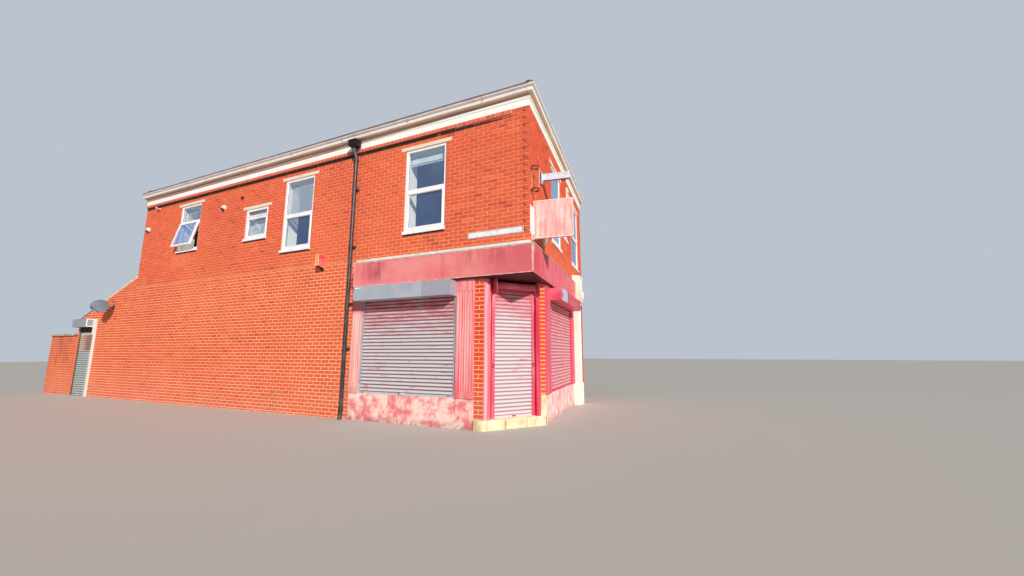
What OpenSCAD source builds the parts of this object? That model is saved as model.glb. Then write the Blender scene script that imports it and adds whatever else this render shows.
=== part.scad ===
// Corner shop: two storeys of brick at the end of a row, with a chamfered corner doorway,
// roller shutters, a moulded eaves cornice, a lean-to and a shuttered yard gate.
// x runs along the side street, y along the main street and z up. Every module draws with the
// street corner at x = 0, y = 0, the side face at y = 0 and the front face at x = 0,
// and place() then moves the middle of the main block to the origin.

/* [Main block] */
// Length of the block along the side street
block_len = 13720; // [12000:10:16500]
// Width of the block along the main street
block_w = 5640; // [5500:10:7000]
// Thickness of the brick walls
wall_t = 330; // [215:5:450]
// Height of the brickwork under the frieze
brick_top = 6432; // [6300:1:7200]
// Height of one course of bricks with its joint
course = 84; // [70:1:86]

/* [Floors] */
// Top of the ground floor and of the stone plinth
plinth_h = 190; // [100:5:300]
// Top of the upper floor
upper_floor_z = 3340; // [3200:10:3600]
// Thickness of the upper floor
upper_floor_t = 230; // [150:5:300]
// Thickness of the ceiling under the roof
ceiling_t = 180; // [100:5:250]

/* [Roof] */
// Pitch of the three roof slopes in degrees
roof_pitch = 24; // [15:1:32]
// Thickness of a slope, measured straight down
roof_t = 60; // [40:5:120]
// How far the slates reach out past the wall face
roof_out = 130; // [90:5:150]
// Height of the slates at their lower edge
roof_edge_z = 6855; // [6855:5:8000]
// Height of the chimney stack above the ground
stack_top = 10250; // [9900:10:12000]

/* [Windows] */
// How far the window frames stand back from the wall face
reveal = 20; // [10:5:100]
// Depth of a window frame from front to back
frame_d = 70; // [50:5:90]
// Face width of a window frame
frame_w = 58; // [40:1:75]
// Bottom of the tall upper windows
sill_low = 4140; // [3900:5:4400]
// Bottom of the short upper windows
sill_high = 4630; // [4500:5:4900]
// Angle that the open sash stands out at
sash_tilt = 12; // [4:1:35]

/* [Shopfront] */
// Length that the doorway cuts off the side face
cham_x = 954; // [850:1:1150]
// Length that the doorway cuts off the front face
cham_y = 1009; // [900:1:1200]
// Far end of the side shopfront, from the corner
shop_side = 4285; // [3800:5:5200]
// Far end of the front shopfront, from the corner
shop_front = 4030; // [3700:5:4300]
// Height of the low wall under the side shutter
stall_side_h = 580; // [400:5:800]
// Height of the low wall under the front shutter
stall_front_h = 600; // [400:5:800]
// Thickness of the low walls and depth of the pilasters behind the face
stall_t = 100; // [80:5:140]
// Underside of the shopfront beam
beam_z = 2935; // [2915:5:2950]
// Lower edge of the fascia
fascia_z0 = 2960; // [2955:5:3050]
// Upper edge of the fascia
fascia_z1 = 3520; // [3400:5:3700]

/* [Shutters] */
// Height of one shutter slat
slat_h = 76; // [60:1:100]
// Face width of a shutter guide
guide_w = 65; // [45:1:75]
// Depth of a shutter guide
guide_d = 60; // [45:1:80]
// How far the shutter boxes reach out past the wall face
box_out = 290; // [200:5:350]
// Underside of the side shutter box
box_z0 = 2605; // [2450:5:2650]
// Top of the shutter boxes
box_z1 = 2912; // [2800:1:2914]

/* [Lean-to and yard] */
// Length of lean-to wall between the rear corner and the gate post
lean_run = 2180; // [1800:10:2600]
// Width of the lean-to from the side street
lean_w = 2600; // [1800:10:3200]
// Height of the lean-to roof at the rear wall
lean_z1 = 4000; // [3900:10:4400]
// Height of the lean-to roof at its low end
lean_z0 = 2700; // [2700:10:3000]
// Width of the gateway with both its shutter guides
gate_w = 940; // [800:10:1200]
// Underside of the gate shutter box
gate_box_z = 2370; // [2200:10:2370]
// Length of the yard wall past the lean-to
yard_len = 1980; // [1200:10:2600]
// Height of the yard wall with its coping
yard_h = 2170; // [1900:10:2400]

/* [Hidden] */

$fn = 48;
big = 30000;
eps = 1;

// Doorway: its face runs from (-cham_x, 0) to (0, cham_y)
door_len = sqrt(cham_x * cham_x + cham_y * cham_y);
door_turn = atan2(cham_y, cham_x);
jamb_in = 200;
side_pier_w = 206;
fluted_w = 402;
side_pilaster_w = 255;
front_pilaster_w = 356;
front_far_w = 325;
cream_w = 430;
cream_out = 163;
front_pier_face = 123;
pilaster_out = 30;

// Upper walls rest on the beam
beam_h = 300;
beam_bear = 150;
beam_top = beam_z + beam_h;
wall_head = 6735;

// Windows as [start along the wall, width, bottom, top, middle of the transom]
head_z = brick_top - 4 * course;
small_head_z = brick_top - 11 * course;
lintel_side = 130;
lintel_d = 110;
sill_h = 65;
sill_out = 30;
sill_side = 12;
transom_h = 70;
glass_t = 24;
SIDE_WINDOWS = [
    [-2990, 1080, sill_low, head_z, 5090],
    [-6945, 1080, sill_low, head_z, 5090],
    [-8495, 930, sill_high, small_head_z, 5270],
    [-11705, 1050, sill_high, head_z, 5535]];
OPEN_WINDOW = SIDE_WINDOWS[3];
FRONT_WINDOWS = [
    [1690, 1000, sill_low, head_z, 5090],
    [2850, 650, sill_high, small_head_z, 5270],
    [4070, 1080, sill_low, head_z, 5090]];
REAR_WINDOWS = [
    [-3365, 1080, sill_low + 700, head_z, 5535],
    [-4700, 1080, 1000, 2400, 2000]];

// Roof planes rise inwards from roof_out past each face
roof_rise = tan(roof_pitch);
ridge_run = block_w + roof_out;
stack_x = [-4900, -4000];
stack_w = 450;
pot_bed = 60;

// Eaves, as distances out from the wall face
frieze_t = 20;
soffit_out = 100;
cornice_out = 155;
frieze_top = 6580;
corona_z = 6692;
cornice_z = 6735;
cornice_top = 6815;

// Lean-to: its gateway lies between a post and the thin end wall
post_w = 215;
post_out = 30;
post_x = -block_len - lean_run;
gate_x1 = post_x - post_w;
gate_x0 = gate_x1 - gate_w;
lean_end_t = 105;
lean_x = gate_x0 - lean_end_t;
lean_t = 230;
lean_roof_t = 60;
cope_x = -block_len - 1850;
cope_rise = 20;
gate_box_h = 280;
gate_box_out = 200;
gate_box_side = 30;
curtain_up = 60;
yard_x0 = lean_x - yard_len;
yard_t = 230;

// Doorway shutter: its recess, guides and roller in the frame of the chamfer
lining_w = 135;
lining_v = 10;
door_u0 = 212;
door_u2 = 1178;
door_v = 100;
roller_r = 70;
roller_v = 30;
roller_z = 2830;
roller_plate = [6, 325, 2625];
guide_top = 2675;

// Guides stand between the pilasters
side_guides = [-shop_side + side_pilaster_w, -cham_x - side_pier_w - fluted_w];
front_guides = [cham_y + front_pilaster_w, shop_front - front_far_w];
front_box_z0 = box_z0 + 31;

fascia_foot = 85;
board_rise = 25;
fascia_head = 107;
band_out = 34;
band_end = 370;
pipe_x = -4460;
pipe_gap = 35;
sign_turn = 7.5;
sign_z0 = 3694;
coping_w = 230;
curtain_v = 26;
guide_slot = 20;

// Moves the middle of the main block to the origin
module place() {
    translate([block_len / 2, -block_w / 2, 0]) children();
}

// A box between two corners
module span(a, b) {
    translate(a) cube(b - a);
}

// Each face of the block with u to the right, v inwards and z up, as seen from the street
module on_side() {
    children();
}

module on_front() {
    rotate([0, 0, 90]) children();
}

module on_rear() {
    translate([-block_len, 0, 0]) rotate([0, 0, -90]) children();
}

module on_chamfer() {
    translate([-cham_x, 0, 0]) rotate([0, 0, door_turn]) children();
}

// A profile of (out, up) drawn along the face in use, from u0 to u1
module run(u0, u1) {
    translate([u0, 0, 0]) rotate([90, 0, 90]) linear_extrude(u1 - u0) mirror([1, 0]) children();
}

// The ground that each face's run covers, cut at 45 degrees at the corners of the block
module side_ground() {
    linear_extrude(big) polygon([[-block_len - 900, -900], [900, -900], [-900, 900],
        [-block_len + 900, 900]]);
}

module front_ground(end) {
    linear_extrude(big) polygon([[900, -900], [900, end], [-900, end], [-900, 900]]);
}

// The profile along the side, the front and the rear face, mitred at both corners
module eaves_run(end) {
    intersection() {
        run(-block_len - 900, 900) children();
        side_ground();
    }
    intersection() {
        on_front() run(-900, end) children();
        front_ground(end);
    }
    translate([-block_len, 0, 0]) mirror([1, 0, 0]) intersection() {
        on_front() run(-900, end) children();
        front_ground(end);
    }
}

// Everything under the three roof planes, lowered by drop
module under_roof(drop) {
    z_in = roof_edge_z + ridge_run * roof_rise + roof_rise * 900 - drop;
    z_out = roof_edge_z - roof_rise * 900 - drop;
    far = ridge_run + 900 - roof_out;
    near = -roof_out - 900;
    intersection() {
        translate([-block_len - 900, 0, 0]) rotate([90, 0, 90]) linear_extrude(block_len + 1800)
            polygon([[near, 0], [far, 0], [far, z_in], [near, z_out]]);
        translate([0, block_w + 900, 0]) rotate([90, 0, 0]) linear_extrude(block_w + 1800)
            polygon(slope_outline(drop));
    }
}

// The front and rear slopes seen from the main street side
function slope_outline(drop) =
    let (end = roof_out + 900, z0 = roof_edge_z - 900 * roof_rise - drop,
        mid = block_len / 2, top = roof_edge_z + (mid + roof_out) * roof_rise - drop)
    [[-block_len - end, 0], [end, 0], [end, z0], [-mid, top], [-block_len - end, z0]];

module window_hole(w) {
    span([w[0], -eps, w[2]], [w[0] + w[1], wall_t + eps, w[3]]);
}

module lintel(w) {
    span([w[0] - lintel_side, -5, w[3]], [w[0] + w[1] + lintel_side, lintel_d, w[3] + course]);
}

module sill(w) {
    span([w[0] - sill_side, -sill_out, w[2] - sill_h], [w[0] + w[1] + sill_side, lintel_d, w[2]]);
}

module window_cuts(windows) {
    for (w = windows) {
        window_hole(w);
        lintel(w);
        sill(w);
    }
}

// A rectangular ring of the given face width between two depths
module ring(u0, u1, z0, z1, width, v0, v1) {
    difference() {
        span([u0, v0, z0], [u1, v1, z1]);
        span([u0 + width, v0 - eps, z0 + width], [u1 - width, v1 + eps, z1 - width]);
    }
}

// A frame with a fixed top light and, unless it stands open, a lower casement
module window_frame(w, opened) {
    u1 = w[0] + w[1];
    v1 = reveal + frame_d;
    ring(w[0], u1, w[2], w[3], frame_w, reveal, v1);
    span([w[0] + frame_w, reveal, w[4] - transom_h / 2],
        [u1 - frame_w, v1, w[4] + transom_h / 2]);
    if (!opened)
        ring(w[0] + frame_w, u1 - frame_w, w[2] + frame_w, w[4] - transom_h / 2, 38,
            reveal - 8, v1 - 15);
}

module pane(u0, u1, z0, z1) {
    span([u0, reveal + 24, z0], [u1, reveal + 24 + glass_t, z1]);
}

module window_panes(w, opened) {
    u0 = w[0] + frame_w;
    u1 = w[0] + w[1] - frame_w;
    pane(u0, u1, w[4] + transom_h / 2, w[3] - frame_w);
    if (!opened)
        pane(u0 + 38, u1 - 38, w[2] + frame_w + 38, w[4] - transom_h / 2 - 38);
}

// The open sash hangs from the transom and stands out at the bottom
sash_w = OPEN_WINDOW[1] - 2 * frame_w + 16;
sash_h = OPEN_WINDOW[4] - transom_h / 2 - OPEN_WINDOW[2] - frame_w - 6;
sash_t = 45;
module sash_place() {
    translate([OPEN_WINDOW[0] + OPEN_WINDOW[1] / 2, reveal, OPEN_WINDOW[4] - transom_h / 2])
        rotate([-sash_tilt, 0, 0]) translate([0, -sash_t, 0]) children();
}

// A shutter curtain of bulged slats from u0 to u1, with its flat back at v = 0
module curtain(u0, u1, z0, z1) {
    bar = 50;
    n = floor((z1 - z0 - bar) / slat_h);
    front = concat([[4, z0], [4, z0 + bar]],
        [for (i = [0:n - 1], p = [[4, 0.04], [13, 0.22], [13, 0.7], [4, 0.96]])
            [p[0], z0 + bar + (i + p[1]) * slat_h]],
        [[4, z1], [0, z1], [0, z0]]);
    run(u0, u1) polygon(front);
    span([u0, -15, z0], [u1, -4, z0 + bar - 6]);
}

// A guide channel beside a curtain, open towards +u when dir is 1; its back is at v = guide_d
module guide(u, dir, z0, z1) {
    lip = 6;
    slot = 26;
    flip = dir > 0 ? 0 : 1;
    translate([u, 0, z0]) mirror([flip, 0, 0]) difference() {
        cube([guide_w, guide_d, z1 - z0]);
        translate([guide_slot, lip, -eps]) cube([guide_w, slot, z1 - z0 + 2 * eps]);
    }
}

// A sheet metal shutter box from u[0] to u[1], with a slot for the curtain between guides g
module shutter_box(u, z0, z1, out, g) {
    sheet = 5;
    back = -guide_d;
    slot = [2, 32];
    difference() {
        run(u[0], u[1]) polygon([[back, z0], [out, z0], [out, z1], [back, z1]]);
        run(u[0] + sheet, u[1] - sheet) polygon([[back + sheet, z0 + sheet],
            [out - sheet, z0 + sheet], [out - sheet, z1 - sheet], [back + sheet, z1 - sheet]]);
        span([g[0] + guide_slot, slot[0], z0 - eps], [g[1] - guide_slot, slot[1], z0 + sheet + eps]);
    }
}

// A plain or fluted pilaster of the given width
module pilaster(u, width, z0, z1, flutes) {
    base = 140;
    cap = 215;
    flute_r = 22;
    flute_out = 8;
    pitch = width / (flutes + 1);
    difference() {
        span([u, -pilaster_out, z0], [u + width, stall_t, z1]);
        for (i = [1:1:flutes])
            translate([u + i * pitch, -pilaster_out - flute_out, z0 + base])
                cylinder(r = flute_r, h = z1 - z0 - base - cap);
    }
}

// Plan of the room behind the shopfront, inside the walls, piers and low walls
function cham(u, v) = [-cham_x + u * cos(door_turn) - v * sin(door_turn),
    u * sin(door_turn) + v * cos(door_turn)];
lining_side = cham(0, jamb_in);
lining_front = cham(door_len - front_pier_face, jamb_in);
fluted_x = -cham_x - side_pier_w - fluted_w;
front_core_y = cham_y + front_pilaster_w;
INNER_CORNER = [[fluted_x, stall_t], [fluted_x, wall_t], [lining_side[0], wall_t],
    [-wall_t, lining_front[1]], [-wall_t, front_core_y], [-stall_t, front_core_y]];

module ground_floor() {
    color("dimgray") place() linear_extrude(plinth_h) polygon(concat(
        [[-block_len + wall_t, wall_t], [-shop_side, wall_t], [-shop_side, stall_t]],
        INNER_CORNER,
        [[-stall_t, shop_front], [-wall_t, shop_front], [-wall_t, block_w - wall_t],
            [-block_len + wall_t, block_w - wall_t]]));
}

module upper_floor() {
    color("tan") place() span([-block_len + wall_t, wall_t, upper_floor_z - upper_floor_t],
        [-wall_t, block_w - wall_t, upper_floor_z]);
}

module ceiling() {
    color("tan") place() span([-block_len + wall_t, wall_t, wall_head - ceiling_t],
        [-wall_t, block_w - wall_t, wall_head]);
}

module side_wall_lower() {
    color("orangered") place() difference() {
        span([-block_len, 0, 0], [-shop_side, wall_t, beam_top]);
        span([-shop_side - beam_bear, -eps, beam_z], [-shop_side + eps, wall_t + eps, beam_top + eps]);
    }
}

// The band is one course of bricks that stands out under the frieze and stops short of the corner
module side_wall_upper() {
    color("orangered") place() {
        difference() {
            span([-block_len, 0, beam_top], [0, wall_t, wall_head]);
            window_cuts(SIDE_WINDOWS);
        }
        span([-block_len, -band_out, brick_top - course], [-band_end, 0, brick_top]);
    }
}

module front_wall_lower() {
    color("orangered") place() difference() {
        span([-wall_t, shop_front, 0], [0, block_w - wall_t, beam_top]);
        span([-wall_t - eps, shop_front - eps, beam_z], [eps, shop_front + beam_bear, beam_top + eps]);
    }
}

module front_wall_upper() {
    color("orangered") place() difference() {
        span([-wall_t, wall_t, beam_top], [0, block_w - wall_t, wall_head]);
        on_front() window_cuts(FRONT_WINDOWS);
    }
}

module rear_wall() {
    color("orangered") place() difference() {
        span([-block_len, wall_t, 0], [-block_len + wall_t, block_w - wall_t, wall_head]);
        on_rear() window_cuts(REAR_WINDOWS);
    }
}

module stack_body(grow = 0) {
    span([stack_x[0], block_w - stack_w, wall_head], [stack_x[1], block_w + grow, stack_top]);
}

module party_wall() {
    color("firebrick") place() difference() {
        intersection() {
            span([-block_len, block_w - wall_t, 0], [0, block_w, big]);
            under_roof(roof_t);
        }
        stack_body(eps);
    }
}

// The beam carries the upper walls over the shopfront and, at the corner, over the doorway
module shop_beam() {
    color("maroon") place() translate([0, 0, beam_z]) {
        linear_extrude(beam_h) polygon([
            [-shop_side - beam_bear, 0], [0, 0], [0, shop_front + beam_bear],
            [-wall_t, shop_front + beam_bear], [-wall_t, wall_t],
            [-shop_side - beam_bear, wall_t]]);
        linear_extrude(min(beam_h, upper_floor_z - upper_floor_t - beam_z)) polygon([
            [-wall_t, wall_t], [-wall_t, lining_front[1]], [lining_side[0], wall_t]]);
    }
}

module corner_plinth() {
    lip = 22;
    color("cornsilk") place() linear_extrude(plinth_h) polygon(concat(
        [[-cham_x - side_pier_w, -lip], [-cham_x + lip / 2, -lip], [lip, cham_y - lip / 2],
            [lip, cham_y], [-stall_t, cham_y], [-stall_t, front_core_y]],
        [for (i = [4:-1:0]) INNER_CORNER[i]],
        [[-cham_x - side_pier_w, stall_t]]));
}

// Brick piers on each side of the doorway, with cores behind the pilasters
module corner_piers() {
    color("orangered") place() translate([0, 0, plinth_h]) linear_extrude(beam_z - plinth_h) {
        polygon([[-cham_x - side_pier_w, 0], [-cham_x, 0], lining_side, [lining_side[0], wall_t],
            [fluted_x, wall_t], [fluted_x, stall_t], [-cham_x - side_pier_w, stall_t]]);
        polygon([[0, cham_y], cham(door_len - front_pier_face, 0), lining_front,
            [-wall_t, lining_front[1]], [-wall_t, front_core_y], [-stall_t, front_core_y],
            [-stall_t, cham_y]]);
    }
}

module eaves_plate() {
    z = roof_edge_z - roof_t + roof_out * roof_rise;
    color("burlywood") place() eaves_run(block_w - wall_t) polygon([
        [-wall_t, wall_head], [0, wall_head], [0, z], [-wall_t, z + wall_t * roof_rise]]);
}

// One slope between two heights of the roof, over its own part of the plan
module slope(plan) {
    difference() {
        intersection() {
            under_roof(0);
            linear_extrude(big) polygon(plan);
        }
        under_roof(roof_t);
        stack_body(eps);
    }
}

module roof_side() {
    color("slategray") place() slope([[-block_len - roof_out, -roof_out], [roof_out, -roof_out],
        [-block_w, block_w], [-block_len + block_w, block_w]]);
}

module roof_front() {
    color("slategray") place() slope([[roof_out, -roof_out], [roof_out, block_w],
        [-block_w, block_w]]);
}

module roof_rear() {
    color("slategray") place() slope([[-block_len - roof_out, -roof_out],
        [-block_len + block_w, block_w], [-block_len - roof_out, block_w]]);
}

// Half-round tiles over the two hips and along the top of the side slope
module roof_ridge() {
    r = 80;
    top = roof_edge_z + ridge_run * roof_rise;
    hip_len = sqrt(2 * ridge_run * ridge_run + pow(ridge_run * roof_rise, 2));
    hip_lift = atan2(roof_rise, sqrt(2));
    color("sienna") place() difference() {
        intersection() {
            union() {
                for (side = [0, 1])
                    translate([side * -block_len, 0, 0]) mirror([side, 0, 0])
                        translate([roof_out, -roof_out, roof_edge_z]) rotate([0, 0, 135])
                            rotate([0, 90 - hip_lift, 0]) translate([0, 0, 180])
                                cylinder(r = r, h = hip_len);
                translate([-block_len + block_w, block_w, top]) rotate([0, 90, 0])
                    cylinder(r = r, h = block_len - 2 * block_w);
            }
            span([-block_len - 900, -900, 0], [900, block_w, big]);
        }
        under_roof(0);
        stack_body(eps);
    }
}

// A brick stack with two corbelled courses near the top and a bed of mortar for the pots
module chimney_stack() {
    corbel = [30, 85];
    corbel_z = stack_top - 450;
    color("firebrick") place() {
        stack_body();
        for (i = [1, 2])
            span([stack_x[0] - i * corbel[0], block_w - stack_w - i * corbel[0],
                corbel_z + i * corbel[1]],
                [stack_x[1] + i * corbel[0], block_w, corbel_z + (i + 1) * corbel[1]]);
        span([stack_x[0] + pot_bed, block_w - stack_w + pot_bed, stack_top],
            [stack_x[1] - pot_bed, block_w - pot_bed, stack_top + pot_bed]);
    }
}

// Clay pots with a rim, open at the top
module chimney_pots() {
    count = 3;
    gap = (stack_x[1] - stack_x[0] - 2 * pot_bed) / count;
    color("chocolate") place() for (i = [0:count - 1])
        translate([stack_x[0] + pot_bed + (i + 0.5) * gap, block_w - stack_w / 2,
            stack_top + pot_bed])
            rotate_extrude() polygon([[85, 0], [115, 0], [115, 40], [105, 60], [92, 430], [112, 445],
                [112, 490], [85, 490], [78, 430], [85, 40]]);
}

module frieze() {
    color("white") place() eaves_run(block_w) translate([0, brick_top])
        square([frieze_t, frieze_top - brick_top]);
}

// A cove under the gutter, between two small beads
module eaves_soffit() {
    foot = [10, 14];
    bead = [8, 12];
    start = [frieze_t + foot[0], frieze_top + foot[1]];
    end = [soffit_out - bead[0], corona_z - bead[1]];
    cove = [for (a = [0:10:90]) [end[0] - (end[0] - start[0]) * cos(a),
        start[1] + (end[1] - start[1]) * sin(a)]];
    color("rosybrown") place() eaves_run(block_w) polygon(concat(
        [[0, frieze_top], [frieze_t, frieze_top], [start[0], frieze_top + 4]], cove,
        [[soffit_out, end[1]], [soffit_out, cornice_z], [0, cornice_z]]));
}

// White mouldings under an open trough that takes the water from the slates
module eaves_cornice() {
    bow = cornice_out - 110;
    curve = [for (a = [0:15:90]) [110 + bow * (1 - cos(a)), cornice_z + 6 + 44 * sin(a)]];
    color("white") place() eaves_run(block_w) polygon(concat(
        [[soffit_out, corona_z], [110, corona_z], [110, cornice_z]], curve,
        [[cornice_out, cornice_top], [cornice_out - 8, cornice_top],
            [cornice_out - 8, cornice_z + 56], [40, cornice_z + 56], [30, cornice_top - 10],
            [0, cornice_top - 10], [0, cornice_z], [soffit_out, cornice_z]]));
}

module window_lintels() {
    color("wheat") place() {
        for (w = SIDE_WINDOWS) lintel(w);
        on_front() for (w = FRONT_WINDOWS) lintel(w);
        on_rear() for (w = REAR_WINDOWS) lintel(w);
    }
}

module window_sills() {
    color("white") place() {
        for (w = SIDE_WINDOWS) sill(w);
        on_front() for (w = FRONT_WINDOWS) sill(w);
        on_rear() for (w = REAR_WINDOWS) sill(w);
    }
}

module window_frames() {
    color("white") place() {
        for (w = SIDE_WINDOWS) window_frame(w, w == OPEN_WINDOW);
        on_front() for (w = FRONT_WINDOWS) window_frame(w, false);
        on_rear() for (w = REAR_WINDOWS) window_frame(w, false);
    }
}

module window_glass() {
    color("lightblue") place() {
        for (w = SIDE_WINDOWS) window_panes(w, w == OPEN_WINDOW);
        on_front() for (w = FRONT_WINDOWS) window_panes(w, false);
        on_rear() for (w = REAR_WINDOWS) window_panes(w, false);
        sash_place() span([-sash_w / 2 + 50, 12, -sash_h + 50], [sash_w / 2 - 50, 36, -50]);
    }
}

module open_sash() {
    color("white") place() sash_place()
        ring(-sash_w / 2, sash_w / 2, -sash_h, 0, 50, 0, sash_t);
}

module stallrisers() {
    color("mistyrose") place() {
        span([-shop_side, 0, 0], [-cham_x - side_pier_w, stall_t, stall_side_h]);
        on_front() span([cham_y, 0, 0], [shop_front, stall_t, stall_front_h]);
    }
}

module pilasters() {
    color("hotpink") place() {
        pilaster(-shop_side, side_pilaster_w, stall_side_h, beam_z, 4);
        pilaster(fluted_x, fluted_w, stall_side_h, beam_z, 6);
        on_front() pilaster(cham_y, front_pilaster_w, stall_front_h, beam_z, 0);
        on_front() pilaster(shop_front - front_far_w, front_far_w, stall_front_h, beam_z, 0);
    }
}

// The cream pilaster at the end of the shopfront, with a moulded console under a panelled block
module cream_pilaster() {
    u0 = shop_front;
    u1 = shop_front + cream_w;
    foot_out = 30;
    sunk = [70, 20];
    sunk_z = [stall_front_h + 120, fascia_z0 - 160];
    console = [110, 290];
    shelf_z = fascia_z0 + 330;
    block_out = cream_out + 60;
    block_z = [fascia_z0 + 350, fascia_z0 + 720];
    cap_out = cream_out + 85;
    cap_z = [fascia_z0 + 735, fascia_z0 + 775, fascia_z0 + 820];
    color("cornsilk") place() on_front() {
        span([u0, -cream_out - foot_out, 0], [u1 + foot_out, 0, stall_front_h]);
        difference() {
            span([u0, -cream_out, stall_front_h], [u1, 0, fascia_z0]);
            span([u0 + sunk[0], -cream_out - eps, sunk_z[0]],
                [u1 - sunk[0], -cream_out + sunk[1], sunk_z[1]]);
        }
        run(u0, u1) polygon(concat([[0, fascia_z0]],
            [for (a = [0:15:90]) [cream_out + console[0] * sin(a),
                fascia_z0 + console[1] * (1 - cos(a))]],
            [[cream_out + console[0], shelf_z], [block_out, block_z[0]], [block_out, block_z[1]],
                [cap_out, cap_z[0]], [cap_out, cap_z[1]], [0, cap_z[2]]]));
    }
}

// Fascia boards lean out a little towards the top and are mitred at the street corner
module shop_run(side_end, front_end) {
    intersection() {
        run(-side_end, 900) children();
        side_ground();
    }
    intersection() {
        on_front() run(-900, front_end) children();
        front_ground(front_end);
    }
}

module fascia() {
    color("palevioletred") place() shop_run(shop_side - 30, shop_front) polygon([
        [0, fascia_z0 + board_rise], [fascia_foot, fascia_z0], [fascia_head, fascia_z1],
        [0, fascia_z1]]);
}

// Boards under the fascia, set back a little from its face
module fascia_soffit() {
    inner = fascia_foot - 8;
    color("maroon") place() {
        shop_run(shop_side - 30, shop_front) polygon([[0, beam_z], [inner, beam_z],
            [inner, fascia_z0 + board_rise * (1 - inner / fascia_foot)],
            [0, fascia_z0 + board_rise]]);
    }
}

module fascia_flashing() {
    drip = fascia_head + 12;
    sheet = 10;
    fold_z = fascia_z1 + 34;
    upstand = [8, fascia_z1 + 95];
    color("silver") place() shop_run(shop_side - 20, shop_front) polygon([[0, fascia_z1],
        [drip, fascia_z1], [drip, fascia_z1 + sheet], [upstand[0], fold_z], upstand,
        [0, upstand[1]]]);
}

// Timber linings of the doorway, rebated behind the shutter guides
module door_lining() {
    pier_u = door_len - front_pier_face;
    back_v = door_v + guide_d;
    color("crimson") place() on_chamfer() translate([0, 0, plinth_h])
        linear_extrude(beam_z - plinth_h) {
            polygon([[0, lining_v], [lining_w, lining_v], [lining_w, back_v],
                [door_u0 + guide_w, back_v], [door_u0 + guide_w, jamb_in], [0, jamb_in]]);
            polygon([[pier_u, lining_v], [pier_u, jamb_in], [door_u2 - guide_w, jamb_in],
                [door_u2 - guide_w, back_v], [door_u2, back_v], [door_u2, lining_v]]);
        }
}

module door_shutter() {
    color("mistyrose") place() on_chamfer() translate([0, door_v + curtain_v, 0])
        curtain(door_u0 + guide_slot, door_u2 - guide_slot, plinth_h, roller_z);
}

// The curtain is wound on an open roller between end plates that hang from the beam
module door_roller() {
    sheet = roller_plate[0];
    back_v = door_v + guide_d;
    color("indianred") place() on_chamfer() {
        translate([door_u0 + sheet, roller_v, roller_z]) rotate([0, 90, 0])
            cylinder(r = roller_r, h = door_u2 - door_u0 - 2 * sheet);
        for (u = [door_u0, door_u2 - sheet])
            translate([u, 0, 0]) rotate([90, 0, 90]) linear_extrude(sheet) polygon([
                [back_v, guide_top], [back_v, beam_z], [back_v - roller_plate[1], beam_z],
                [back_v - roller_plate[1], roller_plate[2] + 25],
                [back_v - roller_plate[1] + 25, roller_plate[2]], [door_v - 5, roller_plate[2]],
                [door_v - 5, guide_top]]);
    }
}

module side_shutter() {
    color("lightgray") place() translate([0, curtain_v, 0])
        curtain(side_guides[0] + guide_slot, side_guides[1] - guide_slot, stall_side_h,
            box_z0 + curtain_up);
}

module front_shutter() {
    color("lightpink") place() on_front() translate([0, curtain_v, 0])
        curtain(front_guides[0] + guide_slot, front_guides[1] - guide_slot, stall_front_h,
            front_box_z0 + curtain_up);
}

module shutter_boxes() {
    gap = 2;
    color("lightgray") place() {
        shutter_box([side_guides[0] + gap, side_guides[1] - gap], box_z0, box_z1, box_out,
            side_guides);
        on_front() shutter_box([front_guides[0] + gap, front_guides[1] - gap], front_box_z0,
            box_z1, box_out, front_guides);
    }
}

module shutter_guides() {
    color("silver") place() {
        guide(side_guides[0], 1, stall_side_h, box_z0);
        guide(side_guides[1], -1, stall_side_h, box_z0);
        on_front() guide(front_guides[0], 1, stall_front_h, front_box_z0);
        on_front() guide(front_guides[1], -1, stall_front_h, front_box_z0);
        on_chamfer() translate([0, door_v, 0]) {
            guide(door_u0, 1, plinth_h, guide_top);
            guide(door_u2, -1, plinth_h, guide_top);
        }
    }
}

// A rainwater pipe with a hopper head under the eaves, ears at its joints and a shoe
module downpipe() {
    r = 55;
    bore = r - 6;
    color("black") place() translate([pipe_x, -r - pipe_gap, 0]) {
        difference() {
            translate([0, 0, 30]) cylinder(r = r, h = hopper_z - 30);
            translate([0, 0, -eps]) cylinder(r = bore, h = hopper_z + 130);
        }
        for (z = [1750, 3550, 5350])
            translate([0, 0, z]) {
                difference() {
                    cylinder(r = r + 9, h = 90);
                    translate([0, 0, -eps]) cylinder(r = bore, h = 100);
                }
                span([-80, r - 4, 20], [80, r + pipe_gap, 70]);
            }
        difference() {
            hopper(0, r);
            translate([0, 0, 8]) hopper(10, r);
            cylinder(r = bore, h = hopper_z + 130);
        }
    }
}

// The hopper's tapered box, with its walls moved in by wall
hopper_z = 6470;
hopper_w = 400;
module hopper(wall, r) {
    cove_gap = 48;
    back = r + pipe_gap - cove_gap;
    front = 130;
    z1 = hopper_z + 90;
    z2 = hopper_z + 180;
    translate([-hopper_w / 2 + wall, 0, 0]) rotate([90, 0, 90])
        linear_extrude(hopper_w - 2 * wall) polygon([[-80 + wall, hopper_z],
            [r + 8 - wall, hopper_z], [back - wall, z1], [back - wall, z2],
            [-front + wall, z2], [-front + wall, z1]]);
}

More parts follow.
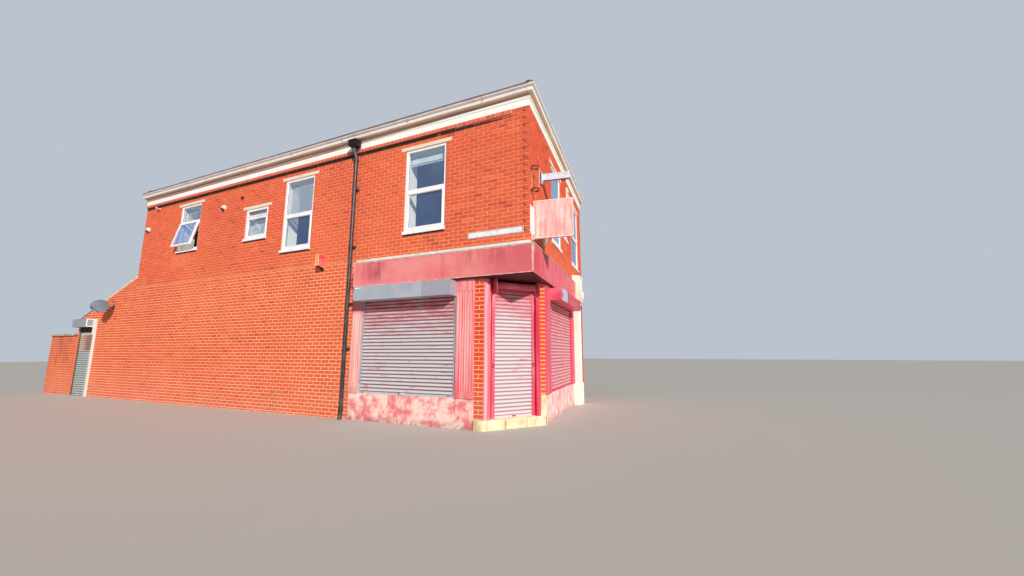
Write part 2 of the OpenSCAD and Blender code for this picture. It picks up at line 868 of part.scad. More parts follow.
// An empty bracket of two hoops and upright bars on the front face by the corner
module hoop_bracket() {
    r = 80;
    rim = 8;
    h = 500;
    band = 30;
    bar = [9, 20];
    standoff = 15;
    lug = [15, 22];
    color("sandybrown") place() translate([r + standoff, 100, 4645]) {
        for (z = [0, h - band])
            translate([0, 0, z]) difference() {
                cylinder(r = r, h = band);
                translate([0, 0, -eps]) cylinder(r = r - rim, h = band + 2 * eps);
            }
        for (a = [0, 180])
            rotate([0, 0, a]) translate([r - rim + 2, -bar[1] / 2, band - eps])
                cube([bar[0], bar[1], h - 2 * band + 2 * eps]);
        for (z = [4, h - band + 4])
            span([-r - standoff, -bar[1] / 2, z], [-r - standoff + lug[0] + rim - 1, bar[1] / 2,
                z + lug[1]]);
    }
}

// A hollow arm that reaches out over the main street from a channel on the wall
module sign_arm() {
    arm = [625, 76, 146];
    arm_at = [8, 842, 5207];
    wall = 6;
    channel = [50, 132, 250];
    color("white") place() {
        translate([0, 700, 5110]) difference() {
            cube(channel);
            translate([wall, -eps, wall])
                cube([channel[0] - 2 * wall, channel[1] - 20, channel[2] - 2 * wall]);
        }
        translate(arm_at) rotate([0, 0, sign_turn]) difference() {
            translate([0, -arm[1] / 2, 0]) cube(arm);
            translate([60, -arm[1] / 2 + wall, -eps])
                cube([arm[0] - 65, arm[1] - 2 * wall, arm[2] - 22]);
        }
    }
}

// A projecting panel on a wall plate, left bare
module sign_panel() {
    plate_t = 18;
    panel = [782, 60, 778];
    tongue = [40, 70];
    color("mistyrose") place() {
        span([0, 20, 3760], [plate_t, 244, 4330]);
        span([0, 110, sign_z0 - 35], [tongue[0], 110 + tongue[1], 3761]);
        translate([plate_t, 214, sign_z0]) rotate([0, 0, sign_turn])
            translate([-2, -panel[1] / 2, 0]) cube(panel);
    }
}

module street_plate() {
    plate = [1215, 14, 135];
    color("white") place() translate([-1340, -plate[1], 3780]) cube(plate);
}

// A wedge-shaped box that juts from the side wall, and a smaller bell box on the front face
module alarm_box() {
    u = [-5420, -5310];
    out = 178;
    back = [3511, 3892];
    near = [3555, 3830];
    bell = [220, 45, 320];
    color("pink") place() {
        run(u[0], u[1]) polygon([[0, back[0]], [out, near[0]], [out, near[1]], [0, back[1]]]);
        on_front() translate([3420, -bell[1], 5940]) cube(bell);
    }
}

// Two round lights and small fittings on both faces, one of them a hook under the band
module wall_lamps() {
    lamp = [75, 45];
    lens = [55, 25];
    vent = [32, 60];
    hook = [60, 110, 148];
    plate_t = 22;
    knob = [24, 70];
    bulkhead = [140, 120, 140];
    sensor = [180, 50, 220];
    neck = [110, 34, 71];
    color("white") place() {
        for (p = [[-13450, 5560], [-9500, 5725]])
            translate([p[0], 0, p[1]]) rotate([90, 0, 0]) {
                cylinder(r = lamp[0], h = lamp[1]);
                translate([0, 0, lamp[1]]) cylinder(r = lens[0], h = lens[1]);
            }
        translate([-8690, 0, 5900]) rotate([90, 0, 0]) cylinder(r = vent[0], h = vent[1]);
        translate([-12990, 0, 6200]) {
            span([0, -plate_t, 0], [hook[0], 0, hook[2]]);
            span([0, -hook[1], 0], [hook[0], -plate_t + 2, plate_t + 2]);
            translate([hook[0] / 2, -95, plate_t]) cylinder(r = knob[0], h = knob[1]);
        }
        on_front() {
            translate([4760, -bulkhead[1], 2850]) cube(bulkhead);
            translate([890, -sensor[1], 3860]) cube(sensor);
            translate([930, -neck[1], 3790]) cube(neck);
        }
    }
}

// The street wall carries the verge coping and, at its low end, has the shuttered gateway
module lean_to_walls() {
    color("orangered") place() difference() {
        translate([0, lean_w, 0]) rotate([90, 0, 0]) linear_extrude(lean_w) polygon([
            [lean_x, 0], [-block_len, 0], [-block_len, lean_z1 - lean_roof_t],
            [lean_x, lean_z0 - lean_roof_t]]);
        span([gate_x0, lean_t, -eps], [-block_len + eps, lean_w - lean_t, big]);
        span([gate_x0, -eps, -eps], [gate_x1, lean_t + eps, gate_box_z + curtain_up]);
        span([gate_x0 - gate_box_side, -eps, gate_box_z],
            [gate_x1, guide_d, gate_box_z + gate_box_h]);
    }
}

// A profile between two places along the lean-to's fall, from v0 to v1
module fall(x0, x1, v0, v1, under, over) {
    rate = (lean_z1 - lean_z0) / (-block_len - lean_x);
    z0 = lean_z0 + (x0 - lean_x) * rate;
    z1 = lean_z0 + (x1 - lean_x) * rate;
    translate([0, v1, 0]) rotate([90, 0, 0]) linear_extrude(v1 - v0) polygon([
        [x0, z0 - under], [x1, z1 - under], [x1, z1 + over], [x0, z0 + over]]);
}

module lean_to_roof() {
    eaves = 40;
    color("slategray") place() difference() {
        fall(lean_x - eaves, -block_len, 0, lean_w, lean_roof_t, 0);
        span([cope_x, -eps, 0], [-block_len + eps, coping_w, big]);
    }
}

// Pale copings on the verge of the lean-to and on the yard wall
module copings() {
    lip = 12;
    cap = [25, 75, 30];
    color("linen") place() {
        fall(cope_x, -block_len, -lip, coping_w, lean_roof_t, cope_rise);
        translate([yard_x0 - 20, 0, 0]) rotate([90, 0, 90]) linear_extrude(yard_len + 20)
            polygon([[-cap[0], yard_h - cap[1]], [yard_t + cap[0], yard_h - cap[1]],
                [yard_t + cap[0], yard_h - cap[2]], [yard_t / 2, yard_h],
                [-cap[0], yard_h - cap[2]]]);
    }
}

// A shallow oval dish on a wall arm, with its feed horn on a boom below
module satellite_dish() {
    bowl = 650;
    sheet = 8;
    edge = 24;
    at = [-block_len - 1230, -320, 3008];
    turn = -49.5;
    lift = 6;
    hub = [40, 60];
    cut_r = 247;
    cut_off = 32;
    color("gray") place() translate([at[0], 0, at[2]]) {
        back = [-hub[1] / 2 * cos(turn), -hub[1] / 2 * sin(turn)];
        span([back[0] - 55, -12, -75], [back[0] + 55, 0, 75]);
        translate([back[0], 0, 0]) rotate([90, 0, 0]) cylinder(r = 18, h = -at[1] - back[1]);
        translate([0, at[1], 0]) rotate([0, 0, turn]) rotate([0, 90 - lift, 0]) {
            intersection() {
                rotate_extrude() translate([0, bowl]) polygon(concat(
                    [for (a = [0:2:edge]) [bowl * sin(a), -bowl * cos(a)]],
                    [for (a = [edge:-2:0]) [(bowl - sheet) * sin(a), -(bowl - sheet) * cos(a)]]));
                translate([cut_off, 0, -20]) cylinder(r = cut_r, h = 200);
                translate([-cut_off, 0, -20]) cylinder(r = cut_r, h = 200);
            }
            translate([0, 0, -hub[1]]) cylinder(r = hub[0], h = hub[1] + 4);
            translate([190, 0, 26]) rotate([0, -8, 0]) {
                cylinder(r = 10, h = 340);
                translate([0, 0, 300]) rotate([0, -25, 0]) cylinder(r = 26, h = 90);
            }
        }
    }
}

module gate_posts() {
    color("whitesmoke") place() {
        span([gate_x1, -post_out, 0], [post_x, 0, gate_box_z + gate_box_h]);
        guide(gate_x0, 1, 0, gate_box_z);
        guide(gate_x1, -1, 0, gate_box_z);
    }
}

module gate_shutter() {
    foot = 20;
    color("darkgray") place() translate([0, curtain_v, 0])
        curtain(gate_x0 + guide_slot, gate_x1 - guide_slot, foot, gate_box_z + curtain_up);
}

module gate_shutter_box() {
    color("darkgray") place() shutter_box([gate_x0 - gate_box_side, gate_x1], gate_box_z,
        gate_box_z + gate_box_h, gate_box_out, [gate_x0, gate_x1]);
}

module yard_wall() {
    color("firebrick") place() span([yard_x0, 0, 0], [lean_x, yard_t, yard_h - 75]);
}

ground_floor();
upper_floor();
ceiling();
side_wall_lower();
side_wall_upper();
front_wall_lower();
front_wall_upper();
rear_wall();
party_wall();
shop_beam();
corner_plinth();
corner_piers();
eaves_plate();
roof_side();
roof_front();
roof_rear();
roof_ridge();
chimney_stack();
chimney_pots();
frieze();
eaves_soffit();
eaves_cornice();
window_lintels();
window_sills();
window_frames();
window_glass();
open_sash();
stallrisers();
pilasters();
cream_pilaster();
fascia();
fascia_soffit();
fascia_flashing();
door_lining();
door_shutter();
door_roller();
side_shutter();
front_shutter();
shutter_boxes();
shutter_guides();
downpipe();
hoop_bracket();
sign_arm();
sign_panel();
street_plate();
alarm_box();
wall_lamps();
lean_to_walls();
lean_to_roof();
copings();
satellite_dish();
gate_posts();
gate_shutter();
gate_shutter_box();
yard_wall();
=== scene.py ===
"""The corner shop's surfaces: bricks, slates, paint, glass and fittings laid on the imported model."""

import math
import random

import bpy
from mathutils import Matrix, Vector


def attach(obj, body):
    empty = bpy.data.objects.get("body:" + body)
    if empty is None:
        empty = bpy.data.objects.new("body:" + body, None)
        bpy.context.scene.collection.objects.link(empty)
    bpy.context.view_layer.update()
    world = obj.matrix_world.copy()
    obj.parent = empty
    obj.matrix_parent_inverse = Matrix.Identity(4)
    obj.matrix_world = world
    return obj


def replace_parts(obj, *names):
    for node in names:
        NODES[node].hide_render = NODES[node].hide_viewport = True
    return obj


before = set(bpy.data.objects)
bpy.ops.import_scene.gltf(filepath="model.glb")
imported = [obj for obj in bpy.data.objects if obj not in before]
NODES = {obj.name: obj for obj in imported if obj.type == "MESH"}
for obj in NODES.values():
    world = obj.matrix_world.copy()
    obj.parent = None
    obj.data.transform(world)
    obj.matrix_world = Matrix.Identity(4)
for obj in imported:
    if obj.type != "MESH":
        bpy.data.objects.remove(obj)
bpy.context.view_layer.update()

# The street corner, and the block's sizes from it
CORNER_X, CORNER_Y = 6.86, -2.82
LENGTH, WIDTH = 13.72, 5.64
WALL = 0.33
BRICK_TOP = 6.432
BAND_END = -0.37
DOOR_X, DOOR_Y = 0.954, 1.009
DOOR_LEN = math.hypot(DOOR_X, DOOR_Y)
DOOR_TURN = math.degrees(math.atan2(DOOR_Y, DOOR_X))
SHOP_SIDE, SHOP_FRONT = 4.285, 4.03
PIER_W, PILASTER_W = 0.206, 0.46
STALL_TOP, FASCIA_TOP = 0.6, 3.62
LEAN_X, LEAN_W, LEAN_HIGH, LEAN_LOW = -17.16, 2.6, 4, 2.7
LEAN_RISE = (LEAN_HIGH - LEAN_LOW) / (-LENGTH - LEAN_X)
LEAN_ROOF = 0.06
COPE_X = -15.57
GATE = (-17.055, -16.115)
POST = (-16.115, -15.9)
GATE_FOOT = 0.07
YARD_X, YARD_T, YARD_H = -19.14, 0.23, 2.095
ROOF_EDGE, ROOF_OUT, PITCH_DEG = 6.855, 0.13, 24
ROOF_RISE = math.tan(math.radians(PITCH_DEG))
STACK_LEFT, STACK_RIGHT, STACK_BACK, STACK_TOP = -4.9, -4, 0.45, 10.25
PIPE_U, PIPE_V, PIPE_R = -4.41, -0.082, 0.043
COLLARS = (1.51, 2.54, 3.9, 5.33)

# Bricks with their joints, slates and shutter slats
COURSE, PITCH = 0.084, 0.225
HALF_BRICK = PITCH / 2
JOINT, WIDE_JOINT = 0.009, 0.013
SLATE_W, GAUGE = 0.25, 0.205
SLAT = 0.076

# Windows as (start along the wall, width, bottom, top, middle of the transom)
SIDE_WINDOWS = [
    (-2.99, 1.08, 4.14, 6.096, 5.09),
    (-6.945, 1.08, 4.14, 6.096, 5.09),
    (-8.495, 0.93, 4.63, 5.508, 5.27),
    (-11.705, 1.05, 4.63, 6.096, 5.535)]
FRONT_WINDOWS = [
    (1.69, 1, 4.14, 6.096, 5.09), (2.85, 0.65, 4.63, 5.508, 5.27), (4.07, 1.08, 4.14, 6.096, 5.09)]
REAR_WINDOWS = [(-3.365, 1.08, 4.84, 6.096, 5.535), (-4.7, 1.08, 1, 2.4, 2)]
OPEN_WINDOW = SIDE_WINDOWS[3]
FRAME_W, TRANSOM, CASEMENT = 0.058, 0.07, 0.038
GLASS_V = 0.044


def face(x, y, degrees):
    """A wall face whose foot starts at a distance from the street corner.

    Seen from outside, u runs to the right, v inwards and z up.
    """
    x, y = CORNER_X + x, CORNER_Y + y
    c, s = math.cos(math.radians(degrees)), math.sin(math.radians(degrees))
    return lambda u, v, z: (x + u * c - v * s, y + u * s + v * c, z)


def slope(x, y, z, degrees, pitch):
    """A roof slope from a point on its lower edge: u along the edge, s up the slope and h above it."""
    cp, sp = math.cos(math.radians(pitch)), math.sin(math.radians(pitch))
    level = face(x, y, degrees)

    def to(u, s, h):
        px, py, _ = level(u, s * cp - h * sp, 0)
        return (px, py, z + s * sp + h * cp)
    return to


side = face(0, 0, 0)
front = face(0, 0, 90)
rear = face(-LENGTH, 0, -90)
door = face(-DOOR_X, 0, DOOR_TURN)
lean_back = face(-LENGTH, LEAN_W, 180)
lean_end = face(LEAN_X, 0, -90)
yard_back = face(LEAN_X, YARD_T, 180)
yard_end = face(YARD_X, 0, -90)
WINDOWS = [(side, w) for w in SIDE_WINDOWS] + [(front, w) for w in FRONT_WINDOWS]
WINDOWS += [(rear, w) for w in REAR_WINDOWS]


def lean_top(u):
    """Height of the lean-to's brickwork at a place along the side street."""
    return LEAN_LOW - LEAN_ROOF + (u - LEAN_X) * LEAN_RISE


# Materials


def shade(code, lift=0):
    """A screen colour such as "e45e3a" in linear light, made lighter by a lift of up to 255."""
    parts = (min(int(code[i:i + 2], 16) + lift, 255) / 255 for i in (0, 2, 4))
    return tuple(((c + 0.055) / 1.055) ** 2.4 for c in parts)


def rgba(value):
    """A screen colour, a linear colour or a grey as four numbers; a socket is handed back."""
    if isinstance(value, str):
        value = shade(value)
    if isinstance(value, (int, float)):
        value = (value,) * 3
    return (*value, 1) if isinstance(value, tuple) else value


class Mat:
    """A material: its principled shader, its colour so far and short calls for the nodes that feed it."""

    def __init__(self, name, base=None, rough=0.6, metal=0, turn=0):
        self.m = bpy.data.materials.new(name)
        self.m.use_nodes = True
        self.t = self.m.node_tree
        self.p = self.t.nodes["Principled BSDF"]
        self.base = base
        self.set("Roughness", rough)
        self.set("Metallic", metal)
        self.coords = self.node("TexCoord").outputs["Object"]
        if turn:
            turned = {"Vector": self.coords, "Rotation": (0, 0, -math.radians(turn))}
            self.coords = self.node("Mapping", turned).outputs[0]

    def feed(self, socket, value):
        """Links a socket to another one, or gives it a value."""
        if isinstance(value, bpy.types.NodeSocket):
            self.t.links.new(value, socket)
        else:
            socket.default_value = value

    def set(self, key, value):
        self.feed(self.p.inputs[key], value)

    def node(self, kind, inputs=None, **props):
        n = self.t.nodes.new("ShaderNode" + kind)
        for key, value in props.items():
            setattr(n, key, value)
        for key, value in (inputs or {}).items():
            self.feed(n.inputs[key], value)
        return n

    def noise(self, scale, detail=3, rough=0.55, stretch=1, warp=0):
        """A noise whose scale is changed along z by one number, or along each axis by three."""
        place = self.coords
        if stretch != 1:
            scales = stretch if isinstance(stretch, tuple) else (1, 1, stretch)
            place = self.node("Mapping", {"Vector": place, "Scale": scales}).outputs[0]
        n = self.node("TexNoise", {"Vector": place, "Scale": scale, "Detail": detail, "Roughness": rough,
                                   "Distortion": warp})
        return n.outputs["Fac"]

    def cells(self, scale):
        return self.node("TexVoronoi", {"Vector": self.coords, "Scale": scale}).outputs["Distance"]

    def axis(self, letter):
        return self.node("SeparateXYZ", {0: self.coords}).outputs["XYZ".index(letter)]

    def along(self, letter, start, end):
        """0 to 1 from one place on an axis to another, held at both."""
        n = self.node("MapRange", {"Value": self.axis(letter), "From Min": start, "From Max": end})
        return n.outputs[0]

    def u(self, start, end):
        """0 to 1 between two places along the side street, from the corner."""
        return self.along("X", CORNER_X + start, CORNER_X + end)

    def v(self, start, end):
        """0 to 1 between two depths behind the side street's face."""
        return self.along("Y", CORNER_Y + start, CORNER_Y + end)

    def z(self, start, end):
        return self.along("Z", start, end)

    def within(self, ramp, low, high, soft=0.002):
        """1 between two places, for one of the ramps u, v and z."""
        return self.times(ramp(low - soft, low + soft), ramp(high + soft, high - soft))

    def spot(self, u0, u1, z0, z1, soft):
        """1 inside a rectangle of the side street's face."""
        flat = self.times(self.within(self.u, u0, u1, soft), self.within(self.z, z0, z1, soft))
        return self.times(flat, self.v(0.03, 0.02))

    def math(self, op, a, b=0):
        return self.node("Math", {0: a, 1: b}, operation=op).outputs[0]

    def times(self, a, b):
        return self.math("MULTIPLY", a, b)

    def bare(self, cover):
        """What a cover leaves bare."""
        return self.math("SUBTRACT", 1, cover)

    def grooves(self, low):
        """How far a height is from the middle of its slat, for slats that start at a height."""
        phase = self.math("FRACT", self.math("DIVIDE", self.math("SUBTRACT", self.axis("Z"), low), SLAT))
        return self.math("ABSOLUTE", self.math("SUBTRACT", phase, 0.46))

    def attr(self, name):
        return self.node("Attribute", attribute_name=name).outputs["Fac"]

    def steps(self, fac, *stops):
        """A ramp through (position, number or colour) stops."""
        n = self.node("ValToRGB", {"Fac": fac})
        marks = n.color_ramp.elements
        while len(marks) < len(stops):
            marks.new(0.5)
        for mark, (place, value) in zip(marks, stops):
            mark.position = place
            mark.color = rgba(value)
        return n.outputs["Color"]

    def over(self, fac, share, soft):
        """1 where a noise is among its highest values; share is about how much of the surface that is."""
        limit = 0.5 + (0.5 - share) * 0.42
        return self.steps(fac, (limit - soft, 0), (limit + soft, 1))

    def blots(self, share, soft, *noise, **more):
        return self.over(self.noise(*noise, **more), share, soft)

    def mix(self, fac, a, b):
        n = self.node("Mix", data_type="RGBA")
        for i, value in ((0, fac), (6, rgba(a)), (7, rgba(b))):
            self.feed(n.inputs[i], value)
        return n.outputs[2]

    def lay(self, color, cover, amount=1):
        """Lays a colour over the colour so far."""
        if amount < 1:
            cover = self.times(cover, amount)
        self.base = self.mix(cover, self.base, color)

    def patch(self, color, amount, share, soft, *noise, **more):
        """Lays a colour in the patches of a noise."""
        self.lay(color, self.blots(share, soft, *noise, **more), amount)

    def painted_shadow(self, ledges):
        """A painted shadow, near black, under each ledge of the side street's face."""
        patchy = self.blots(0.94, 0.12, 6, 5, 0.65)
        for place in ledges:
            self.lay("0c0404", self.times(self.spot(*place, 0.012), patchy), 0.97)

    def done(self, gloss, rough, grain, bump):
        """Sets the colour, a roughness between two numbers, and a bump with its distance and strength."""
        self.set("Base Color", self.base)
        low, high = rough
        shine = self.node("MapRange", {"Value": self.noise(*gloss), "To Min": low, "To Max": high})
        self.set("Roughness", shine.outputs[0])
        height = self.noise(*grain) if isinstance(grain, tuple) else grain
        n = self.node("Bump", {"Height": height, "Distance": bump[0], "Strength": bump[1]})
        self.set("Normal", n.outputs[0])
        return self


def brick_mat(name, main, dull, bright, dark, shadowed=(), repaired=(), drips=None):
    """Fired clay: a tone for each brick, broad patches, a pale foot, a painted shadow under ledges and
    fine pits.
    """
    m = Mat(name)
    m.base = m.steps(m.attr("tone"), (0, dark), (0.07, dull), (0.35, main), (0.86, main), (1, bright))
    m.patch(bright, 0.5, 0.42, 0.12, 0.42, stretch=0.55)
    m.patch(dull, 0.45, 0.3, 0.1, 0.6, stretch=(1.3, 1.3, 0.4), warp=0.4)
    m.patch(dark, 0.3, 0.3, 0.12, 22, 4)
    m.lay("d67a66", m.times(m.z(1.3, 0), m.blots(0.65, 0.14, 2.4, 5)), 0.6)
    ragged = m.blots(0.75, 0.2, 3.5, 4)
    for place in repaired:
        m.lay("f47e4a", m.times(m.spot(*place, 0.03), ragged), 0.6)
    if drips:
        wet = m.times(m.spot(*drips, 0.25), m.blots(0.45, 0.1, 5, 4, 0.6, 0.14))
        m.lay("963a2c", wet, 0.75)
    # A painted shadow under the ledges given.
    m.painted_shadow(shadowed)
    return m.done((30,), (0.72, 0.95), (150, 4), (0.0015, 0.7))


def bond_mat(name, mortar=None):
    """Common bricks that are only drawn: all over the party wall, and on the stack's party side."""
    m = Mat(name)
    split = m.node("SeparateXYZ", {0: m.coords})
    flat = m.node("CombineXYZ", {0: split.outputs[0], 1: split.outputs[2]}).outputs[0]
    bond = m.node("TexBrick", {
        "Vector": flat, "Color1": rgba("b05842"), "Color2": rgba("944638"), "Mortar": rgba("baa492"),
        "Scale": 1, "Mortar Size": JOINT / 2, "Brick Width": PITCH, "Row Height": COURSE}, offset=0.5)
    m.base = bond.outputs[0]
    m.patch("844a3e", 0.5, 0.4, 0.15, 0.8, 5)
    m.patch("c4b0a0", 0.3, 0.3, 0.1, 20, 4)
    if mortar:
        bricks = m.base
        m.base = mortar
        m.patch("ecc8ac", 0.4, 0.4, 0.1, 24)
        m.lay(bricks, m.v(WIDTH - 0.006, WIDTH - 0.003))
    height = m.mix(0.25, bond.outputs[1], m.noise(120))
    return m.done((30,), (0.75, 0.95), height, (-0.004, 0.8))


def mortar_mat(name, low, high, inner=None):
    """Lime mortar, paler on the lower storey, with plaster on the block's inner side where asked, and a
    painted shadow under the side street's ledges.
    """
    m = Mat(name)
    m.base = m.mix(m.z(3.1, 4.1), low, high)
    m.patch(tuple(c * 0.66 for c in shade(low)), 0.55, 0.4, 0.12, 1.1, 4)
    m.patch(tuple(min(c * 1.3, 1) for c in shade(low)), 0.4, 0.4, 0.1, 24)
    if inner:
        edge = WALL - 0.02
        m.lay(inner, m.times(m.within(m.u, edge - LENGTH, -edge), m.within(m.v, edge, WIDTH - edge)))
    # A painted shadow in the joints under the ledges, as on the bricks.
    m.painted_shadow(LEDGES)
    return m.done((40,), (0.85, 1), (110, 4), (0.003, 0.8))


def paint_mat(name, main, worn, grime, size=1, wear=0.4, drips=0.35, dirt=0.25, rough=(0.4, 0.7)):
    """Old paint: faded patches and drips down the face, then dirt, with a soft unevenness."""
    m = Mat(name, main)
    m.patch(worn, 1, wear, 0.1, 2.2 / size, 6, 0.62)
    m.patch(worn, 0.7, drips, 0.1, 12 / size, 4, 0.6, 0.07)
    m.patch(grime, 0.7, dirt, 0.12, 5 / size, 5, 0.65, 0.4, warp=0.3)
    return m.done((9,), rough, (60, 4), (0.0012, 0.5))


def white_mat(name, main="f6f6f9", dirty="c6beb6", amount=0.2, rough=(0.25, 0.45)):
    """White plastic or gloss paint with a little dirt in streaks."""
    return paint_mat(name, main, shade(main, 5), dirty, 0.8, 0.5, 0.3, amount, rough)


def metal_mat(name, main, worn, grime, metal, rough):
    """Sheet metal with a faint spangle, dull patches and streaks of dirt."""
    m = Mat(name, metal=metal)
    m.base = m.mix(m.times(m.cells(26), 0.25), main, worn)
    m.patch(worn, 1, 0.4, 0.15, 1.6, 5, 0.6, 0.5)
    m.patch(grime, 0.5, 0.2, 0.1, 9, 4, 0.6, 0.1)
    return m.done((5, 4), rough, (6, 2), (0.004, 0.35))


def stone_mat(name, main, pale, stain, amount=0.3, scale=1, ribs=0):
    """Sandstone or painted stone: grain, pale and stained patches, and tooled ribs where asked."""
    m = Mat(name, main)
    m.patch(pale, 1, 0.45, 0.15, 6 * scale, 5, 0.6)
    m.patch(stain, 0.75, amount, 0.1, 3 * scale, 6, 0.65, 0.6)
    height = m.noise(120, 4)
    if ribs:
        waves = {"Vector": m.coords, "Scale": ribs, "Distortion": 1, "Detail": 2}
        wave = m.node("TexWave", waves, bands_direction="DIAGONAL").outputs[1]
        m.lay(stain, wave, 0.4)
        height = m.mix(0.6, height, wave)
    return m.done((20,), (0.75, 0.95), height, (0.003, 0.6))


def slate_mat(name, main, dark, brown):
    """Riven slate: a tone for each slate, brown patches and spots of lichen."""
    m = Mat(name)
    pale = tuple(c * 1.25 for c in shade(main))
    m.base = m.steps(m.attr("tone"), (0, dark), (0.45, main), (0.8, pale), (1, brown))
    m.patch(brown, 0.5, 0.35, 0.12, 1.1, 5, 0.6)
    m.patch("a8a496", 1, 0.1, 0.05, 16, 5, 0.7)
    return m.done((12, 4), (0.5, 0.85), (45, 5, 0.6, 2), (0.003, 0.6))


def glass_mat():
    """Double glazing: glossy and blue, the blue partly a painted sky reflection, with a film of dust, and
    a paler painted sky reflection on the main street.
    """
    # The glass's blue base colour is partly its tint and partly a painted sky reflection; sky is the
    # paler painted reflection on the main street.
    tint_and_reflection, sky = "8eb6ff", "b0d6ff"
    m = Mat("glass", tint_and_reflection)
    on_front = m.u(-0.1, -0.08)
    dust = m.noise(3, 5, 0.6)
    m.lay(tuple(min(c * 1.6, 1) for c in shade(tint_and_reflection)), m.over(dust, 0.4, 0.2), 0.3)
    # Painted sky reflection on the main street's panes.
    m.lay(m.mix(m.noise(1.3, 2), sky, tuple(c * 0.7 for c in shade(sky))), on_front)
    film = m.math("ADD", 0.118, m.times(m.over(dust, 0.3, 0.15), 0.02))
    # The open sash's glass is more opaque, so more of the painted sky reflection shows.
    swung = m.times(m.v(-0.01, -0.05), 0.27)
    m.set("Alpha", m.math("ADD", film, m.math("ADD", m.times(on_front, 0.5), swung)))
    return m.done((1.7, 4), (0.02, 0.09), (1.2, 2), (0.006, 0.25))


def curtain_mat(name, main, worn, groove, low, worn_from, worn_to, turn=0, spill=0, bar=None):
    """A shutter's slats: dirt and painted shade in each groove, and paint worn away towards one height in
    level streaks.
    """
    m = Mat(name, metal=0.1, turn=turn)
    flow = m.noise(3.2, 6, 0.62, (0.55, 0.55, 2.6))
    fine = m.noise(11, 5, 0.7, (0.35, 0.35, 3))
    height = m.z(worn_from, worn_to)
    amount = m.math("ADD", m.times(height, 0.6), m.math("ADD", m.times(flow, 0.75), m.times(fine, 0.45)))
    m.base = m.mix(m.steps(m.math("SUBTRACT", amount, 0.4), (0.2, 0), (0.54, 1)), main, worn)
    m.lay(main, m.times(m.blots(spill, 0.05, 5, 5, 0.65, (0.5, 0.5, 2.2)), height), 0.8)
    # Darker at the joints between slats: dirt, and painted shade.
    m.lay(groove, m.steps(m.grooves(low), (0.12, 0), (0.34, 0.42), (0.46, 0.97)))
    if bar:
        m.lay(bar, m.z(low - 0.003, low - 0.007))
    return m.done((12,), (0.4, 0.7), (14, 4, 0.55, 2), (0.002, 0.4))


PINK = "e2546c"
SOOT = "463432"
UPPER_MORTAR = "faac88"
LOWER_MORTAR = "ffce9c"

# Places on the side street's face as (start, end, bottom, top) that get a painted shadow: under the band
# course, thinning towards its end, under each side window's sill and under the jutting box.
LEDGES = [
    (-LENGTH, -1.7, 6.262, 6.35), (-1.7, -1.25, 6.266, 6.336), (-1.25, -0.85, 6.27, 6.322),
    (-0.85, -0.58, 6.274, 6.309), (-0.58, -0.37, 6.278, 6.296)]
LEDGES += [(w[0], w[0] + w[1], w[2] - 0.11, w[2] - 0.06) for w in SIDE_WINDOWS]
LEDGES.append((-5.43, -5.32, 3.44, 3.52))
REPAIRS = [(-11.9, -10.9, 4.12, 4.48), (-8.15, -7.85, 4.25, 4.48)]
BRICK = brick_mat("brick", "e45e3a", "d6563a", "f07242", "c4462e", LEDGES, REPAIRS)
PIER_BRICK = brick_mat("pier_brick", "dc4622", "d03e22", "e8582a", "be3620")
BAND = brick_mat("band_brick", "de6454", "d05a4c", "e87a66", "bc4c3e")
# The yard wall's bricks get a painted shadow just under the coping.
YARD_BRICK = brick_mat("yard_brick", "de623e", "cc543a", "ee7a4c", "a83e2e",
                       [(YARD_X, LEAN_X, 2.06, 2.1)], drips=(-18.7, -17.75, 1, 2.2))
MORTAR = mortar_mat("mortar", LOWER_MORTAR, UPPER_MORTAR, "e2ded4")
SLATE = slate_mat("slate", "5a5a60", "48484f", "76645e")
WHITE = white_mat("white_plastic", amount=0.1)
DARK = paint_mat("black_trim", "222226", "3a3a3e", "5a544c", 0.5)
LEAD = metal_mat("lead", "bebec0", "d6d4d0", "787470", 0.35, (0.5, 0.75))
PALE_LEAD = metal_mat("weathered_lead", "d6d4d0", "eceae4", "968e86", 0.1, (0.6, 0.85))
PLASTER = white_mat("plaster", "fffff0", "e8eada", 0.15, (0.7, 0.9))
RUST = paint_mat("rust", "965032", "c48254", "46281e", 0.3, 0.4, 0.3, 0.3, (0.6, 0.9))
TILE = paint_mat("dark_tile", "684c44", "806256", "342c2c", 0.5, rough=(0.6, 0.85))
STEEL = metal_mat("plain_steel", "aaacb0", "c8c8ca", "5a504a", 0.8, (0.3, 0.5))


def fascia_mat():
    """Rose boards on the side street and deeper pink on the main street, stained in streaks, with painted
    shade on their undersides.
    """
    m = Mat("fascia_paint")
    on_front = m.v(-0.084, -0.082)
    m.base = m.mix(on_front, "ea7a7e", m.mix(m.v(0, 2.5), "e04e62", "ea6c76"))
    faded = m.mix(on_front, "f49a96", "ee848c")
    m.patch(faded, 1, 0.4, 0.16, 1.7, 6, 0.62)
    m.patch(faded, 0.25, 0.25, 0.1, 14, 4, 0.6, 0.06)
    drips = m.blots(0.5, 0.12, 9, 4, 0.7, 0.16)
    for u0, u1, z0 in ((-3.9, -3.4, 3.1), (-1.35, -1.1, 3.25), (-0.85, -0.5, 3.2)):
        m.lay("963e48", m.times(m.spot(u0, u1, z0, 3.6, 0.14), drips), 0.75)
    m.lay("b05458", m.times(m.blots(0.2, 0.1, 1.5, 5, 0.65, 0.45), drips), 0.4)
    near = m.times(m.u(-1.3, -0.3), m.bare(on_front))
    m.lay(m.mix(m.blots(0.5, 0.2, 5, 5), "d65866", "c44e5c"), near, 0.6)
    # Painted shade: dark crimson on the boards' undersides.
    m.lay("3e0814", m.z(2.963, 2.961))
    return m.done((6,), (0.35, 0.65), (30, 4, 0.55, 0.3), (0.0015, 0.5))


